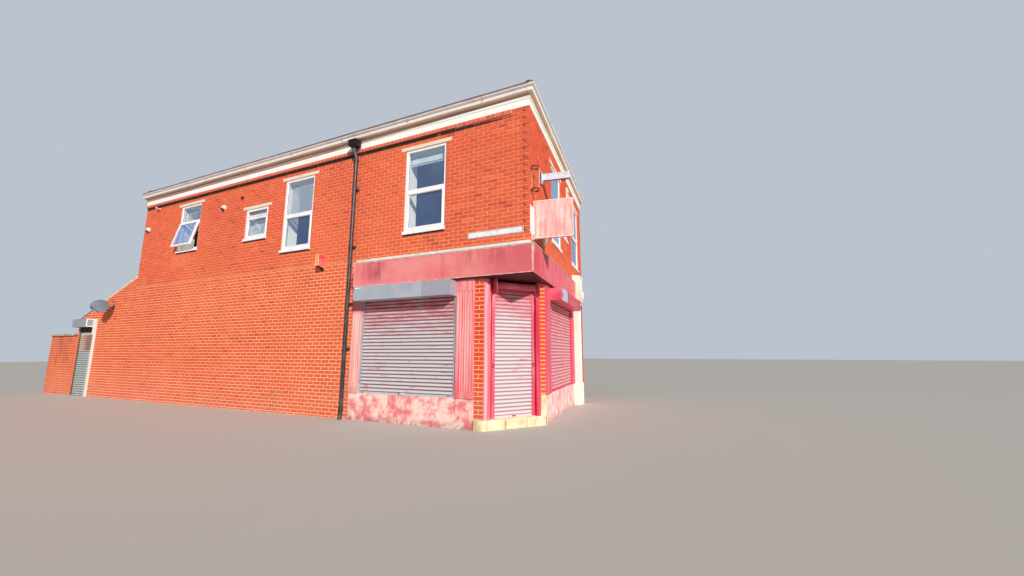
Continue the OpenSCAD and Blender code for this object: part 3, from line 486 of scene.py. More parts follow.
def pilaster_mat():
    """Pale on the left of the side shutter, with painted shadow at its top under the shutter box, pink
    beside the corner and strong pink on the front.
    """
    m = Mat("pilaster_paint")
    right = m.u(-2.2, -1.9)
    m.base = m.mix(right, "ecb6ae", "f6a6a4")
    strong = m.mix(right, "de807c", "e45c6c")
    m.patch(strong, 0.75, 0.42, 0.1, 16, 4, 0.6, 0.05)
    m.lay(strong, m.times(m.z(1.4, 0.6), m.blots(0.5, 0.14, 3, 5, 0.6, (1.4, 1, 0.3))), 0.5)
    edge = m.times(right, m.u(-1.45, -1.53))
    edge = m.times(edge, m.math("MAXIMUM", m.z(1.9, 0.9), m.z(2.45, 2.8)))
    m.lay("ea465a", m.times(edge, m.blots(0.6, 0.2, 4, 5, 0.65, 0.4)), 0.8)
    m.lay(m.mix(m.blots(0.3, 0.1, 10, 5, 0.6, 0.08), PINK, "f07892"), m.u(-0.05, -0.03))
    # Painted shadow at the top of the left pilaster, under the side shutter's box.
    m.lay("d66070", m.times(m.z(2.3, 2.42), m.bare(right)), 0.75)
    return m.done((7,), (0.4, 0.7), (24, 4, 0.55, 0.15), (0.002, 0.5))


def stall_mat(name):
    """Rendered low walls: pale with rose blotches on the side, pink with drips on the front."""
    m = Mat(name, "fad6cc")
    m.patch("e87c80", 1, 0.42, 0.085, 4.8, 6, 0.62)
    m.patch("d6a096", 0.6, 0.25, 0.1, 17, 4, 0.65, 0.12)
    pink = m.mix(m.blots(0.42, 0.1, 11, 4, 0.6, 0.1), "facec4", "ee848e")
    m.lay(m.mix(m.times(m.blots(0.4, 0.1, 6, 5), 0.75), pink, "feece4"), m.u(-0.12, -0.1))
    m.lay("785c50", m.times(m.z(0.16, 0), m.blots(0.55, 0.1, 14, 5, 0.7)), 0.7)
    return m.done((15,), (0.7, 0.95), (34, 6, 0.65), (0.006, 0.7))


def lining_mat():
    """The doorway's linings: faded to white in the middle of the left face, dark red in the recess."""
    m = Mat("lining_paint", turn=DOOR_TURN)
    turn = math.radians(DOOR_TURN)
    start = Vector(door(0, 0, 0)[:2]).dot(Vector((math.cos(turn), math.sin(turn)))) - CORNER_X
    right = m.u(start + 0.6, start + 0.7)
    m.base = m.mix(right, "e85c70", "ca2240")
    m.patch(m.mix(right, "f08c96", "e84c68"), 1, 0.4, 0.1, 14, 4, 0.6, 0.05)
    left = m.within(m.u, start + 0.03, start + 0.08, 0.02)
    m.lay("f8c8c6", m.times(left, m.blots(0.75, 0.15, 7, 5, 0.6, 0.15)), 0.7)
    return m.done((8,), (0.3, 0.6), (40, 4, 0.55, 0.2), (0.0015, 0.5))


def boxes_mat():
    """Shutter boxes: galvanised on the side street, and faded pink on the main street."""
    m = Mat("box_metal", "bac6d2", metal=0.25)
    m.lay("ccd4dc", m.cells(30), 0.25)
    m.lay("c6ccd6", m.within(m.u, -2.93, -2.24))
    m.lay("b0b2be", m.u(-2.242, -2.238))
    m.patch("a6aebc", 0.6, 0.4, 0.15, 2.4, 5, 0.6)
    m.patch("ceacb4", 0.5, 0.2, 0.1, 7, 4, 0.6, 0.2)
    pink = m.mix(m.blots(0.4, 0.1, 3, 6, 0.6), PINK, "ee808e")
    worn = m.times(m.within(m.v, 1.42, 2, 0.08), m.u(0.27, 0.285))
    worn = m.times(worn, m.blots(0.7, 0.08, 5.5, 5, 0.6))
    m.lay(m.mix(worn, pink, "d6def0"), m.u(-0.2, -0.18))
    return m.done((6,), (0.35, 0.6), (4, 2), (0.005, 0.4))


def guides_mat():
    """Bare metal guides beside the side shutter and pink ones beside the others."""
    m = Mat("guide_metal", "bebec8", metal=0.2)
    m.patch("9694a0", 1, 0.4, 0.12, 6, 5, 0.6, 0.2)
    m.patch("c46078", 0.6, 0.2, 0.08, 8, 4)
    m.lay(m.mix(m.blots(0.35, 0.1, 9, 5, 0.6, 0.15), "e4546e", "f08e9c"), m.u(-1.2, -1.15))
    return m.done((9,), (0.3, 0.6), (30,), (0.001, 0.5))


def gutter_mat():
    """White cornice and gutter, whose upper edge is brown and worn, and beige on the main street as a lit
    copy, painted light.
    """
    m = Mat("gutter_paint", "f8f8fa")
    on_front = m.u(0.02, 0.06)
    m.patch("d6c6bc", 0.5, 0.2, 0.1, 5, 5, 0.6, 0.4)
    worn = m.mix(m.blots(0.45, 0.1, 7, 5, 0.65, (0.4, 0.4, 3)), "c8a6a0", "96706e")
    # Painted light: on the main street the worn upper edge is a paler cream copy.
    worn = m.mix(on_front, worn, m.mix(m.noise(6, 4), "fff0d8", "eec8a4"))
    lines = m.blots(0.35, 0.1, 5, 4, 0.6, (0.15, 0.15, 22))
    cream = m.mix(m.times(lines, 0.6), "f6e8d8", "b08c7e")
    m.lay(m.mix(on_front, cream, m.base), m.bare(m.z(6.735, 6.742)))
    m.lay(worn, m.z(6.794, 6.799))
    return m.done((12,), (0.4, 0.7), (30, 4, 0.55, (0.3, 0.3, 2)), (0.001, 0.5))


def soffit_mat():
    """The cove under the gutter: brown paint on the side street, with painted sunlight on its lower part
    near the corner, and a beige lit copy on the main street as painted light.
    """
    m = Mat("soffit", "ba988a")
    lines = m.noise(5, 4, 0.6, (0.2, 0.2, 8))
    m.lay("8e6c62", m.over(lines, 0.4, 0.1))
    m.lay("e8d6c6", m.z(6.66, 6.68), 0.7)
    # Painted sunlight: below a line that rises towards the street corner, the cove's lower part is pale.
    edge = m.math("ADD", m.times(m.u(-5.36, 0), 0.06), 6.58)
    m.lay("fffcf4", m.math("LESS_THAN", m.axis("Z"), edge))
    # Painted light: on the main street the cove is a lighter beige copy, where the sun falls more fully.
    m.lay(m.mix(m.over(lines, 0.4, 0.1), "ffe6c0", "f6c898"), m.u(0.02, 0.06))
    m.patch("be9688", 0.4, 0.3, 0.12, 1.2, 5)
    return m.done((12,), (0.5, 0.8), lines, (0.002, 0.4))


def fittings_mat():
    """White fittings; the lamp on the front face is black below, and so are the vent and the hook."""
    m = Mat("fittings", "f6f6f8")
    m.patch("e2ded8", 1, 0.4, 0.15, 9, 4)
    m.lay("222022", m.times(m.within(m.z, 2.8, 2.94), m.v(4.62, 4.72)))
    for color, end in (("2a2222", 6.26), ("deb89c", 6.22)):
        m.lay(color, m.times(m.within(m.u, -13.1, -12.9), m.z(6.24, end)))
    m.lay("3a2420", m.within(m.u, -8.8, -8.6))
    return m.done((12,), (0.25, 0.5), (40,), (0.001, 0.4))


def hoop_mat():
    """The empty bracket: brown hoops and paler bars."""
    m = Mat("hoop_paint", "683428")
    m.lay("f4c298", m.within(m.z, 4.68, 5.11))
    m.patch("462420", 0.6, 0.35, 0.1, 30, 4)
    return m.done((20,), (0.6, 0.9), (80,), (0.002, 0.6))


def alarm_mat():
    """The jutting box, yellow on its narrow face and rose on its sides, with painted shade on its sloping
    underside, and the cream bell box.
    """
    m = Mat("alarm_plastic", "dc6a6e")
    m.patch("e88282", 1, 0.4, 0.15, 8, 4)
    m.lay("f02c42", m.within(m.z, 3.73, 3.83, 0.03), 0.7)
    narrow = m.mix(m.within(m.u, -5.372, -5.338, 0.008), "fac874", "ee7438")
    narrow = m.mix(m.u(-5.33, -5.322), narrow, "fad6c8")
    m.lay(m.mix(m.z(3.6, 3.57), narrow, "fece68"), m.v(-0.172, -0.176))
    # Painted shade: dark red on the box's sloping underside.
    lean = 0.247
    slant = m.math("ADD", m.axis("Z"), m.times(m.axis("Y"), lean))
    m.lay("46080e", m.math("LESS_THAN", slant, 3.513 + lean * CORNER_Y))
    m.lay("f4ecd6", m.v(2.82, 2.92))
    m.patch("966e5a", 0.4, 0.2, 0.1, 18, 4, 0.6, 0.2)
    return m.done((10,), (0.25, 0.5), (50,), (0.001, 0.4))


def sign_mat():
    """The bare sign: pink, faded in streaks, on a white wall plate."""
    m = Mat("sign_face", "eea098")
    m.patch("f8d0c8", 1, 0.42, 0.1, 13, 4, 0.6, 0.08)
    m.patch("fae0d8", 0.6, 0.3, 0.1, 5, 5, 0.65)
    m.patch("e28486", 0.5, 0.2, 0.1, 7, 4, 0.6, 0.2)
    m.lay("faf8f8", m.u(0.024, 0.019))
    return m.done((8,), (0.35, 0.6), (40,), (0.001, 0.4))


def post_mat():
    """The white post on the right of the gateway and the brown guide on its left."""
    m = Mat("post_paint", "f2eeec")
    m.patch("e0cec2", 1, 0.35, 0.1, 3, 5, 0.6, 0.1)
    ribbed = m.mix(m.z(1.5, 1.58), "bec6c2", "b08a76")
    # Slats painted on the post's inner side, darker at their grooves: dirt, and painted shade.
    inner = m.mix(m.steps(m.grooves(GATE_FOOT), (0.3, 0), (0.46, 0.95)), ribbed, "5a5c5a")
    m.lay(inner, m.times(m.u(-16.018, -16.022), m.z(2.11, 2.1)))
    m.lay("604a42", m.u(-16.6, -16.7))
    return m.done((9,), (0.4, 0.65), (30, 4, 0.55, 0.2), (0.002, 0.4))


def dish_mat():
    """The dish's weathered grey paint, and its dark mount at the wall."""
    m = Mat("dish_paint", "6a747e")
    m.patch("767e88", 1, 0.4, 0.15, 7, 5)
    m.patch("545458", 0.4, 0.2, 0.1, 12, 4, 0.6, 0.2)
    m.lay("28262a", m.v(-0.2, -0.16))
    return m.done((9,), (0.6, 0.85), (30,), (0.001, 0.4))


def coping_mat():
    """Cream stone on the lean-to's verge and grey-brown stone on the yard wall."""
    m = Mat("coping_stone", "f4dabe")
    m.patch("d6b08e", 1, 0.4, 0.12, 7, 5, 0.6)
    m.lay(m.mix(m.blots(0.4, 0.08, 4, 5, 0.6, 0.4), "a08270", "ecdccc"), m.u(LEAN_X + 0.05, LEAN_X))
    return m.done((20,), (0.75, 0.95), (90, 4), (0.003, 0.6))


def gate_mat():
    """The gate's slats: brown and worn above, pale grey-green below, and black at the top as the painted
    shadow of the box.
    """
    m = curtain_mat("gate_slats", "b07a62", "bcc4c0", "545250", GATE_FOOT, 1.58, 1.5)
    m.lay("dec4b4", m.times(m.u(-16.45, -16.75), m.z(1.54, 1.56)), 0.55)
    m.lay("d6cec6", m.within(m.z, 2.1, 2.17, 0.004), 0.8)
    # Painted shadow of the shutter box over the top of the gate.
    m.lay("18100e", m.z(2.17, 2.18))
    m.set("Base Color", m.base)
    return m


def dress_all():
    """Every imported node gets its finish."""
    looks = {
        "side_wall_lower side_wall_upper front_wall_lower front_wall_upper rear_wall corner_piers "
        "lean_to_walls yard_wall": MORTAR,
        "party_wall": bond_mat("party_brick"),
        "chimney_stack": bond_mat("stack_mortar", UPPER_MORTAR),
        "upper_floor eaves_plate": paint_mat("timber", "c49668", "aa7c54", "78583c", 0.6, 0.5, 0.5),
        "ground_floor": stone_mat("concrete", "96928a", "aaa69e", "6e6a62"),
        "ceiling": PLASTER,
        "chimney_pots": paint_mat("clay", "b05c3e", "c67a58", SOOT, 0.6, 0.4, 0.3, 0.3, (0.7, 0.9)),
        "roof_ridge": TILE,
        "copings": coping_mat(),
        "frieze": white_mat("white_gloss", "fcfaf6", "e2d0be", 0.08, (0.3, 0.5)),
        "eaves_cornice": gutter_mat(),
        "eaves_soffit": soffit_mat(),
        "window_frames window_sills open_sash": WHITE,
        "window_lintels": stone_mat("lintel_stone", "f4e0ca", "fceedc", "c89e7e", 0.12, 1.5, ribs=8),
        "window_glass": glass_mat(),
        # The beam's and the fascia soffit's dark red is darker than their paint, as painted shade under
        # the fascia.
        "shop_beam fascia_soffit": paint_mat("dark_red", "3c0811", "5a121e", "22090e", 0.7),
        "fascia": fascia_mat(),
        "fascia_flashing": PALE_LEAD,
        "pilasters": pilaster_mat(),
        "cream_pilaster": stone_mat("cream_paint", "faf4de", "fefcf2", "d6be96", 0.16),
        "stallrisers": stall_mat("stall_render"),
        "corner_plinth": stone_mat("step_paint", "f0deb4", "faeed0", "b0926c", 0.35),
        "door_lining": lining_mat(),
        "door_roller": paint_mat("roller_paint", "e25468", "f08c98", "aa3446", 0.5, 0.35, 0.2, 0.3),
        "door_shutter": curtain_mat("door_slats", "e46474", "d6cdd2", "98646d", 0.24, 2.75, 1.35,
                                    DOOR_TURN, 0.14, "f6c4c8"),
        "side_shutter": curtain_mat("side_slats", "e2626c", "e2dae0", "542e3a", 0.63, 2.75, 1.05,
                                    0, 0.22, "c4c6ce"),
        "front_shutter": curtain_mat("front_slats", "e6808c", "f4b0b4", "ba4e62", 0.65, 3.2, 0.6,
                                     0, 0.3, "e25470"),
        "shutter_boxes": boxes_mat(),
        "shutter_guides": guides_mat(),
        "gate_posts": post_mat(),
        "gate_shutter": gate_mat(),
        "gate_shutter_box": metal_mat("grey_metal", "8e949e", "9ca0a8", "6e7078", 0, (0.7, 0.9)),
        "hoop_bracket": hoop_mat(),
        "sign_arm": white_mat("arm_white", "d6e0ec", "968c8c", 0.3),
        "sign_panel": sign_mat(),
        "street_plate": white_mat("plate_white", "f4f0f2", "beb4b2", 0.2),
        "alarm_box": alarm_mat(),
        "wall_lamps": fittings_mat(),
        "satellite_dish": dish_mat(),
    }
    for node in ("roof_side", "roof_front", "roof_rear", "lean_to_roof"):
        looks[node] = slate_mat(node + "_bed", "96766c", "78605a", "a68070")
    for nodes, mat in looks.items():
        for node in nodes.split():
            slots = NODES[node].data.materials
            slots.clear()
            slots.append(mat.m)


# Shapes


def add(name, data):
    """Puts an object with its data in the scene."""
    o = bpy.data.objects.new(name, data)
    bpy.context.scene.collection.objects.link(o)
    return o


def ring(at, a, b, r, sides):
    """Points on a circle round a place, in the plane of two directions."""
    turns = (2 * math.pi * i / sides for i in range(sides))
    return [at + (a * math.cos(t) + b * math.sin(t)) * r for t in turns]


def quad(to, a, b, low, high):
    """Four points between two places along u, at a low and a high pair of v and z."""
    return [to(a, *low), to(b, *low), to(b, *high), to(a, *high)]


class Shapes:
    """Collects closed solids, and makes a piece of those it has."""

    def __init__(self):
        self.clear()

    def clear(self):
        self.verts, self.faces, self.tones = [], [], []

    def piece(self, name, mat, slot):
        """Makes one mesh of the solids, with a tone for each of them, and starts afresh."""
        mesh = bpy.data.meshes.new(name)
        mesh.from_pydata(self.verts, [], self.faces)
        mesh.materials.append(mat.m)
        mesh.attributes.new("tone", "FLOAT", "POINT").data.foreach_set("value", self.tones)
        mesh.update()
        self.clear()
        o = add(name, mesh)
        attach(o, "root")
        return o

    def solid(self, back, near, tone=0.5):
        """A six-sided solid between two quads, both counterclockwise as seen from the near side."""
        k = len(self.verts)
        self.verts += back + near
        self.tones += [tone] * 8
        sides = ((4, 5, 6, 7), (0, 1, 5, 4), (1, 2, 6, 5), (2, 3, 7, 6), (3, 0, 4, 7), (3, 2, 1, 0))
        self.faces += [tuple(k + i for i in corners) for corners in sides]

    def block(self, to, u, v, z, inset=0, tone=0.5, right_top=None):
        """A box between two depths whose outer face, at v[0], is inset on all sides."""
        (u0, u1), (v0, v1), (z0, z1) = u, v, z
        z2 = z1 if right_top is None else right_top
        back = [to(u0, v1, z0), to(u1, v1, z0), to(u1, v1, z2), to(u0, v1, z1)]
        left, right, low = u0 + inset, u1 - inset, z0 + inset
        near = quad(to, left, right, (v0, low), (v0, max(z1 - inset, low)))
        near[2] = to(right, v0, max(z2 - inset, low))
        self.solid(back, near, tone)

    def rim(self, to, u, v, z, width, inset=0):
        """Four strips round the inside edge of a rectangle."""
        (u0, u1), (z0, z1) = u, z
        for strip in ((z0, z0 + width), (z1 - width, z1)):
            self.block(to, u, v, strip, inset)
        for strip in ((u0, u0 + width), (u1 - width, u1)):
            self.block(to, strip, v, (z0 + width, z1 - width), inset)

    def skin(self, rings):
        """A solid through rings of as many points each, flat at both ends."""
        k, n, last = len(self.verts), len(rings[0]), len(rings) - 1
        self.verts += [tuple(p) for points in rings for p in points]
        self.tones += [0.5] * n * len(rings)
        for p in range(k, k + last * n, n):
            for i in range(n):
                q = (i + 1) % n
                self.faces.append((p + i, p + q, p + n + q, p + n + i))
        self.faces.append(tuple(k + i for i in reversed(range(n))))
        self.faces.append(tuple(k + last * n + i for i in range(n)))

    def turned(self, at, axis, profile, sides):
        """A solid of revolution through (radius, height) points."""
        at, w = Vector(at), Vector(axis).normalized()
        a = w.orthogonal().normalized()
        self.skin([ring(at + w * h, a, w.cross(a), r, sides) for r, h in profile])

    def tube(self, points, r, sides):
        """A round bar swept along points that run mostly upwards."""
        points = [Vector(p) for p in points]
        rings = []
        for before, p, after in zip(points[:1] + points, points, points[1:] + points[-1:]):
            w = (after - before).normalized()
            a = (Vector((1, 0, 0)) - w * w.x).normalized()
            rings.append(ring(p, a, w.cross(a), r, sides))
        self.skin(rings)

    def rod(self, a, b, r, sides=10):
        a, b = Vector(a), Vector(b)
        self.turned(a, b - a, [(r, 0), (r, (b - a).length)], sides)

    def stud(self, to, u, v, z, r, out):
        """A domed head on a face."""
        at, tip = Vector(to(u, v, z)), Vector(to(u, v - 1, z))
        dome = [(r, -0.001), (r, out * 0.3), (r * 0.8, out * 0.75), (r * 0.3, out)]
        self.turned(at, tip - at, dome, 10)


# Brickwork


def free_spans(u, z, holes):
    """The parts of a stretch of wall that no hole (u0, u1, z0, z1) covers at a height."""
    spans = [u]
    for u0, u1, z0, z1 in holes:
        if z0 < z < z1:
            cut = [part for a, b in spans for part in ((a, min(b, u0)), (max(a, u1), b))]
            spans = [(a, b) for a, b in cut if b - a > 0.02]
    return spans


def brick_ends(a, b, lap, pitch, rng):
    """The places where a course between two ends is cut into bricks."""
    cuts = [a]
    k = math.floor((a - lap) / pitch) + 1
    while lap + k * pitch < b - 0.045:
        c = lap + k * pitch + rng.uniform(-0.003, 0.003)
        if c - cuts[-1] > 0.045:
            cuts.append(c)
        k += 1
    return cuts + [b]


def lay_bricks(shapes, to, u, z, seed, holes=(), out=0.005, shift=0, cap=None, pitch=PITCH,
               base=BRICK_TOP, gap=JOINT):
    """Courses of half-lapped bricks over a face, cut at its ends, round the holes and under cap(u)."""
    rng = random.Random(seed)
    half = gap / 2
    first = math.floor((z[0] - base) / COURSE + 1e-6)
    last = math.ceil((z[1] - base) / COURSE - 1e-6)
    for row in range(first, last):
        low, high = max(z[0], base + row * COURSE), min(z[1], base + (row + 1) * COURSE)
        if high - low < 0.02:
            continue
        low, high = low + half, high - half
        lap = shift + (pitch / 2 if row % 2 else 0)
        for a, b in free_spans(u, (low + high) / 2, holes):
            cuts = brick_ends(a, b, lap, pitch, rng)
            for c, d in zip(cuts, cuts[1:]):
                lift, tone = out + rng.uniform(-0.001, 0.001), rng.random()
                c, d = c + half * (c != a), d - half * (d != b)
                tops = [min(high, cap(end)) if cap else high for end in (c, d)]
                if max(tops) > low + 0.012:
                    left, right = (max(top, low + 0.003) for top in tops)
                    shapes.block(to, (c, d), (-lift, 0.001), (low, left), 0.0025, tone, right)


def window_holes(windows):
    holes = []
    for u, w, z0, z1, _ in windows:
        holes.append((u, u + w, z0, z1))
        holes.append((u - 0.13, u + w + 0.13, z1, z1 + COURSE))
        holes.append((u - 0.012, u + w + 0.012, z0 - 0.065, z0))
    return holes


def side_bricks(s):
    low, high, whole = BRICK_TOP - COURSE, BRICK_TOP, (-LENGTH, 0.004)
    lay_bricks(s, side, whole, (FASCIA_TOP, low), 3, window_holes(SIDE_WINDOWS))
    lay_bricks(s, side, (-LENGTH, -SHOP_SIDE), (0, FASCIA_TOP), 4, gap=WIDE_JOINT)
    lay_bricks(s, side, (BAND_END, 0.004), (low, high), 6)
    s.piece("side_bricks", BRICK, "brick")
    band = face(0, -0.034, 0)
    lay_bricks(s, band, (-LENGTH, BAND_END), (low, high), 5, pitch=HALF_BRICK, out=0.004)
    s.piece("band_bricks", BAND, "brick")


def open_joints(s):
    """Black blocks in the joints beside the street corner's half bricks, where the mortar is gone, as
    painted shade in the open joints.
    """
    for row in range(1, 33, 2):
        low = BRICK_TOP - row * COURSE - 0.004
        s.block(side, (-0.1205, -0.1045), (-0.0055, 0), (low, low + COURSE - 0.004))
        s.block(side, (-0.1045, -0.05 + 0.02 * math.sin(row)), (-0.0055, 0), (low, low + 0.01))
    s.piece("open_joints", DARK, "brick")


def window_reveals(s):
    """The bricks' ends in the sides of each window opening, out from its frame."""
    rng = random.Random(24)
    for to, (u, width, z0, z1, _) in WINDOWS:
        foot = BRICK_TOP + math.floor((z0 - BRICK_TOP) / COURSE) * COURSE
        while foot < z1 - 0.02:
            low, high = max(foot + JOINT / 2, z0), min(foot + COURSE - JOINT / 2, z1)
            if high - low > 0.01:
                for a in (u, u + width - 0.002):
                    s.block(to, (a, a + 0.002), (-0.004, 0.02), (low, high), 0, rng.random())
            foot += COURSE
    s.piece("window_reveals", BRICK, "brick")


def front_bricks(s):
    holes = window_holes(FRONT_WINDOWS)
    lay_bricks(s, front, (0, WIDTH), (FASCIA_TOP, BRICK_TOP), 7, holes, shift=HALF_BRICK)
    lay_bricks(s, front, (SHOP_FRONT + PILASTER_W, WIDTH), (0, FASCIA_TOP), 8, shift=HALF_BRICK)
    s.piece("front_bricks", BRICK, "brick")


def rear_bricks(s):
    holes = window_holes(REAR_WINDOWS) + [(-LEAN_W, 0, 0, LEAN_HIGH)]
    lay_bricks(s, rear, (-WIDTH, 0), (0, BRICK_TOP), 9, holes, shift=HALF_BRICK)
    s.piece("rear_bricks", BRICK, "brick")


def pier_bricks(s):
    """Brick piers beside the doorway, whose bricks are cut to their widths."""
    left, top, narrow = -DOOR_X - PIER_W, 2.935, 0.123
    lay_bricks(s, side, (left, -DOOR_X), (0.19, top), 11, pitch=PIER_W, shift=left, gap=WIDE_JOINT)
    lay_bricks(s, door, (DOOR_LEN - narrow, DOOR_LEN), (STALL_TOP, top), 12, out=0.004, pitch=narrow,
               gap=WIDE_JOINT)
    s.piece("pier_bricks", PIER_BRICK, "brick")


def lean_to_bricks(s):
    head = LEAN_LOW - LEAN_ROOF
    box = (GATE[0] - 0.03, GATE[1], 2.37, 2.65)
    holes = [(*GATE, 0, 2.43), (*POST, 0, 2.65), box]
    lay_bricks(s, side, (LEAN_X, -LENGTH), (0, LEAN_HIGH), 13, holes, cap=lean_top, gap=WIDE_JOINT)
    lay_bricks(s, lean_end, (-LEAN_W, -YARD_T), (0, head), 14)
    lay_bricks(s, lean_end, (-YARD_T, 0), (YARD_H + 0.075, head), 15)
    lay_bricks(s, lean_back, (0, -LENGTH - LEAN_X), (0, LEAN_HIGH), 16,
               cap=lambda u: lean_top(-LENGTH - u))
    s.piece("lean_to_bricks", BRICK, "brick")


def yard_bricks(s):
    runs = ((side, YARD_X, LEAN_X), (yard_back, 0, LEAN_X - YARD_X), (yard_end, -YARD_T, 0))
    for seed, (to, start, end) in enumerate(runs, 17):
        lay_bricks(s, to, (start, end), (0, YARD_H), seed, base=YARD_H)
    s.piece("yard_bricks", YARD_BRICK, "party_brick")


def chimney_bricks(s):
    """The stack's three open faces, with its two corbelled courses."""
    low, mid, high = (STACK_TOP - drop for drop in (0.365, 0.28, 0.195))
    for out, *z in ((0, 8.68, low), (0.03, low, mid), (0.06, mid, high), (0, high, STACK_TOP)):
        x0, x1, y, deep = STACK_LEFT - out, STACK_RIGHT + out, WIDTH - STACK_BACK - out, STACK_BACK + out
        lay_bricks(s, face(x0, y, 0), (0, x1 - x0), z, 20, base=high)
        lay_bricks(s, face(x1, y, 90), (0, deep), z, 21, base=high, shift=HALF_BRICK)
        lay_bricks(s, face(x0, y, -90), (-deep, 0), z, 22, base=high, shift=HALF_BRICK)
    s.piece("chimney_bricks", YARD_BRICK, "brick")


# Roofs


def lay_slates(shapes, to, length, left, right, seed):
    """Courses of slates up a slope between two edges given by their distance along u at each height."""
    rng = random.Random(seed)
    for row in range(int(length / GAUGE) + 1):
        s0, s1 = row * GAUGE, min((row + 1) * GAUGE, length)
        if s1 - s0 < 0.03:
            continue
        start = math.floor(min(left(s0), left(s1)) / SLATE_W)
        end = math.ceil(max(right(s0), right(s1)) / SLATE_W)
        for k in range(start, end + 1):
            lap = (k + (0.5 if row % 2 else 0)) * SLATE_W
            a0, a1 = (max(lap + 0.0015, left(t)) for t in (s0, s1))
            b0, b1 = (min(lap + SLATE_W - 0.0015, right(t)) for t in (s0, s1))
            if max(b0 - a0, b1 - a1) < 0.02:
                continue
            a0, a1 = min(a0, b0 - 0.002), min(a1, b1 - 0.002)
            tail = max(s0 + rng.uniform(-0.003, 0.003), 0)
            lift, tone = rng.uniform(0.009, 0.013), rng.random()
            under = [to(a0, tail, 0.001), to(b0, tail, 0.001), to(b1, s1, 0), to(a1, s1, 0)]
            top = [to(a0, tail, lift), to(b0, tail, lift), to(b1, s1, 0.004), to(a1, s1, 0.004)]
            shapes.solid(under, top, tone)


def roof_slates(s):
    """The three slopes, between the hips and the row."""
    cos, row_end = math.cos(math.radians(PITCH_DEG)), WIDTH - 0.003
    left, right = (lambda t: -ROOF_OUT + t * cos), (lambda t: ROOF_OUT - t * cos)
    hips = {
        "side": (0, -ROOF_OUT, 0, lambda t: left(t) - LENGTH, right),
        "front": (ROOF_OUT, 0, 90, left, lambda t: row_end),
        "rear": (-LENGTH - ROOF_OUT, 0, -90, lambda t: -row_end, right)}
    for seed, (name, (x, y, degrees, start, end)) in enumerate(hips.items(), 31):
        to = slope(x, y, ROOF_EDGE, degrees, PITCH_DEG)
        lay_slates(s, to, (WIDTH + ROOF_OUT - 0.006) / cos, start, end, seed)
        s.piece("roof_" + name + "_slates", SLATE, "slate")


def lean_to_slates(s):
    """Slates that fall towards the yard, up to the coping on the street side, and the lead above them."""
    pitch, eaves, inner = math.atan(LEAN_RISE), 0.04, -0.235
    to = slope(LEAN_X - eaves, 0, LEAN_LOW - eaves * LEAN_RISE, -90, math.degrees(pitch))
    turn_at, length = ((end - LEAN_X + eaves) / math.cos(pitch) for end in (COPE_X, -LENGTH))
    lay_slates(s, to, length, lambda t: -LEAN_W, lambda t: 0 if t < turn_at else inner, 34)
    s.piece("lean_to_slates", SLATE, "slate")
    s.block(rear, (-LEAN_W, inner), (-0.008, 0), (LEAN_HIGH + 0.004, LEAN_HIGH + 0.15))
    s.block(rear, (-LEAN_W, inner), (-0.13, -0.008), (LEAN_HIGH - 0.035, LEAN_HIGH - 0.025))
    s.piece("lean_to_flashing", LEAD, "lead")


def ridge_collars(s):
    """The raised joints of the half-round tiles along both hips."""
    for x, way in ((ROOF_OUT, -1), (-LENGTH - ROOF_OUT, 1)):
        start, line = Vector((CORNER_X + x, CORNER_Y - ROOF_OUT, ROOF_EDGE)), Vector((way, 1, ROOF_RISE))
        for k in range(1, int((WIDTH + ROOF_OUT) / 0.32)):
            at = start + line * (0.13 + k * 0.32)
            if at.y < CORNER_Y + WIDTH - 0.13:
                s.turned(at, line, [(0.082, 0), (0.087, 0.006), (0.087, 0.03), (0.082, 0.036)], 24)
    s.piece("ridge_collars", TILE, "clay")


def chimney_flashing(s):
    """Lead at the foot of the stack: an apron below it, steps up the flank and a strip behind it."""
    y, steps, thin = WIDTH - STACK_BACK, 8, (-0.014, 0)
    low, high = (ROOF_EDGE + (ROOF_OUT - x) * ROOF_RISE for x in (STACK_RIGHT, STACK_LEFT))
    s.block(face(STACK_RIGHT, y, 90), (-0.02, 0.44), thin, (low - 0.01, low + 0.15))
    s.block(face(STACK_LEFT, y, -90), (-0.44, 0.02), thin, (high - 0.01, high + 0.1))
    for k in range(steps):
        a, b = (i * (STACK_RIGHT - STACK_LEFT) / steps for i in (k, k + 1))
        z = (high - b * ROOF_RISE - 0.01, high - a * ROOF_RISE + 0.09)
        s.block(face(STACK_LEFT, y, 0), (a, b), thin, z)
    s.piece("chimney_flashing", LEAD, "lead")


def gutter_joints(s):
    """Unions where two lengths of the eaves gutter meet, on the side, the front and the rear."""
    unions = {
        side: (-10.385, -8.585, -6.678, -4.89, -2.9, -1),
        front: (1.2, 3.2, 5.1),
        rear: (-1.2, -3.2, -5.1)}
    for to, places in unions.items():
        for u in places:
            s.block(to, (u, u + 0.022), (-0.159, -0.151), (6.788, 6.817), 0.001)
            if to is side:
                s.block(to, (u, u + 0.022), (-0.143, -0.11), (6.739, 6.75))
    s.piece("gutter_joints", paint_mat("union_grey", "cec4be", "a89690", SOOT, 0.3), "upvc")


# Windows


def panes(w):
    """A window's glazed openings as (u0, u1, z0, z1), its top light first."""
    u, width, z0, z1, mid = w
    a, b = u + FRAME_W, u + width - FRAME_W
    out = [(a, b, mid + TRANSOM / 2, z1 - FRAME_W)]
    if w != OPEN_WINDOW:
        out.append((a + CASEMENT, b - CASEMENT, z0 + FRAME_W + CASEMENT, mid - TRANSOM / 2 - CASEMENT))
    return out


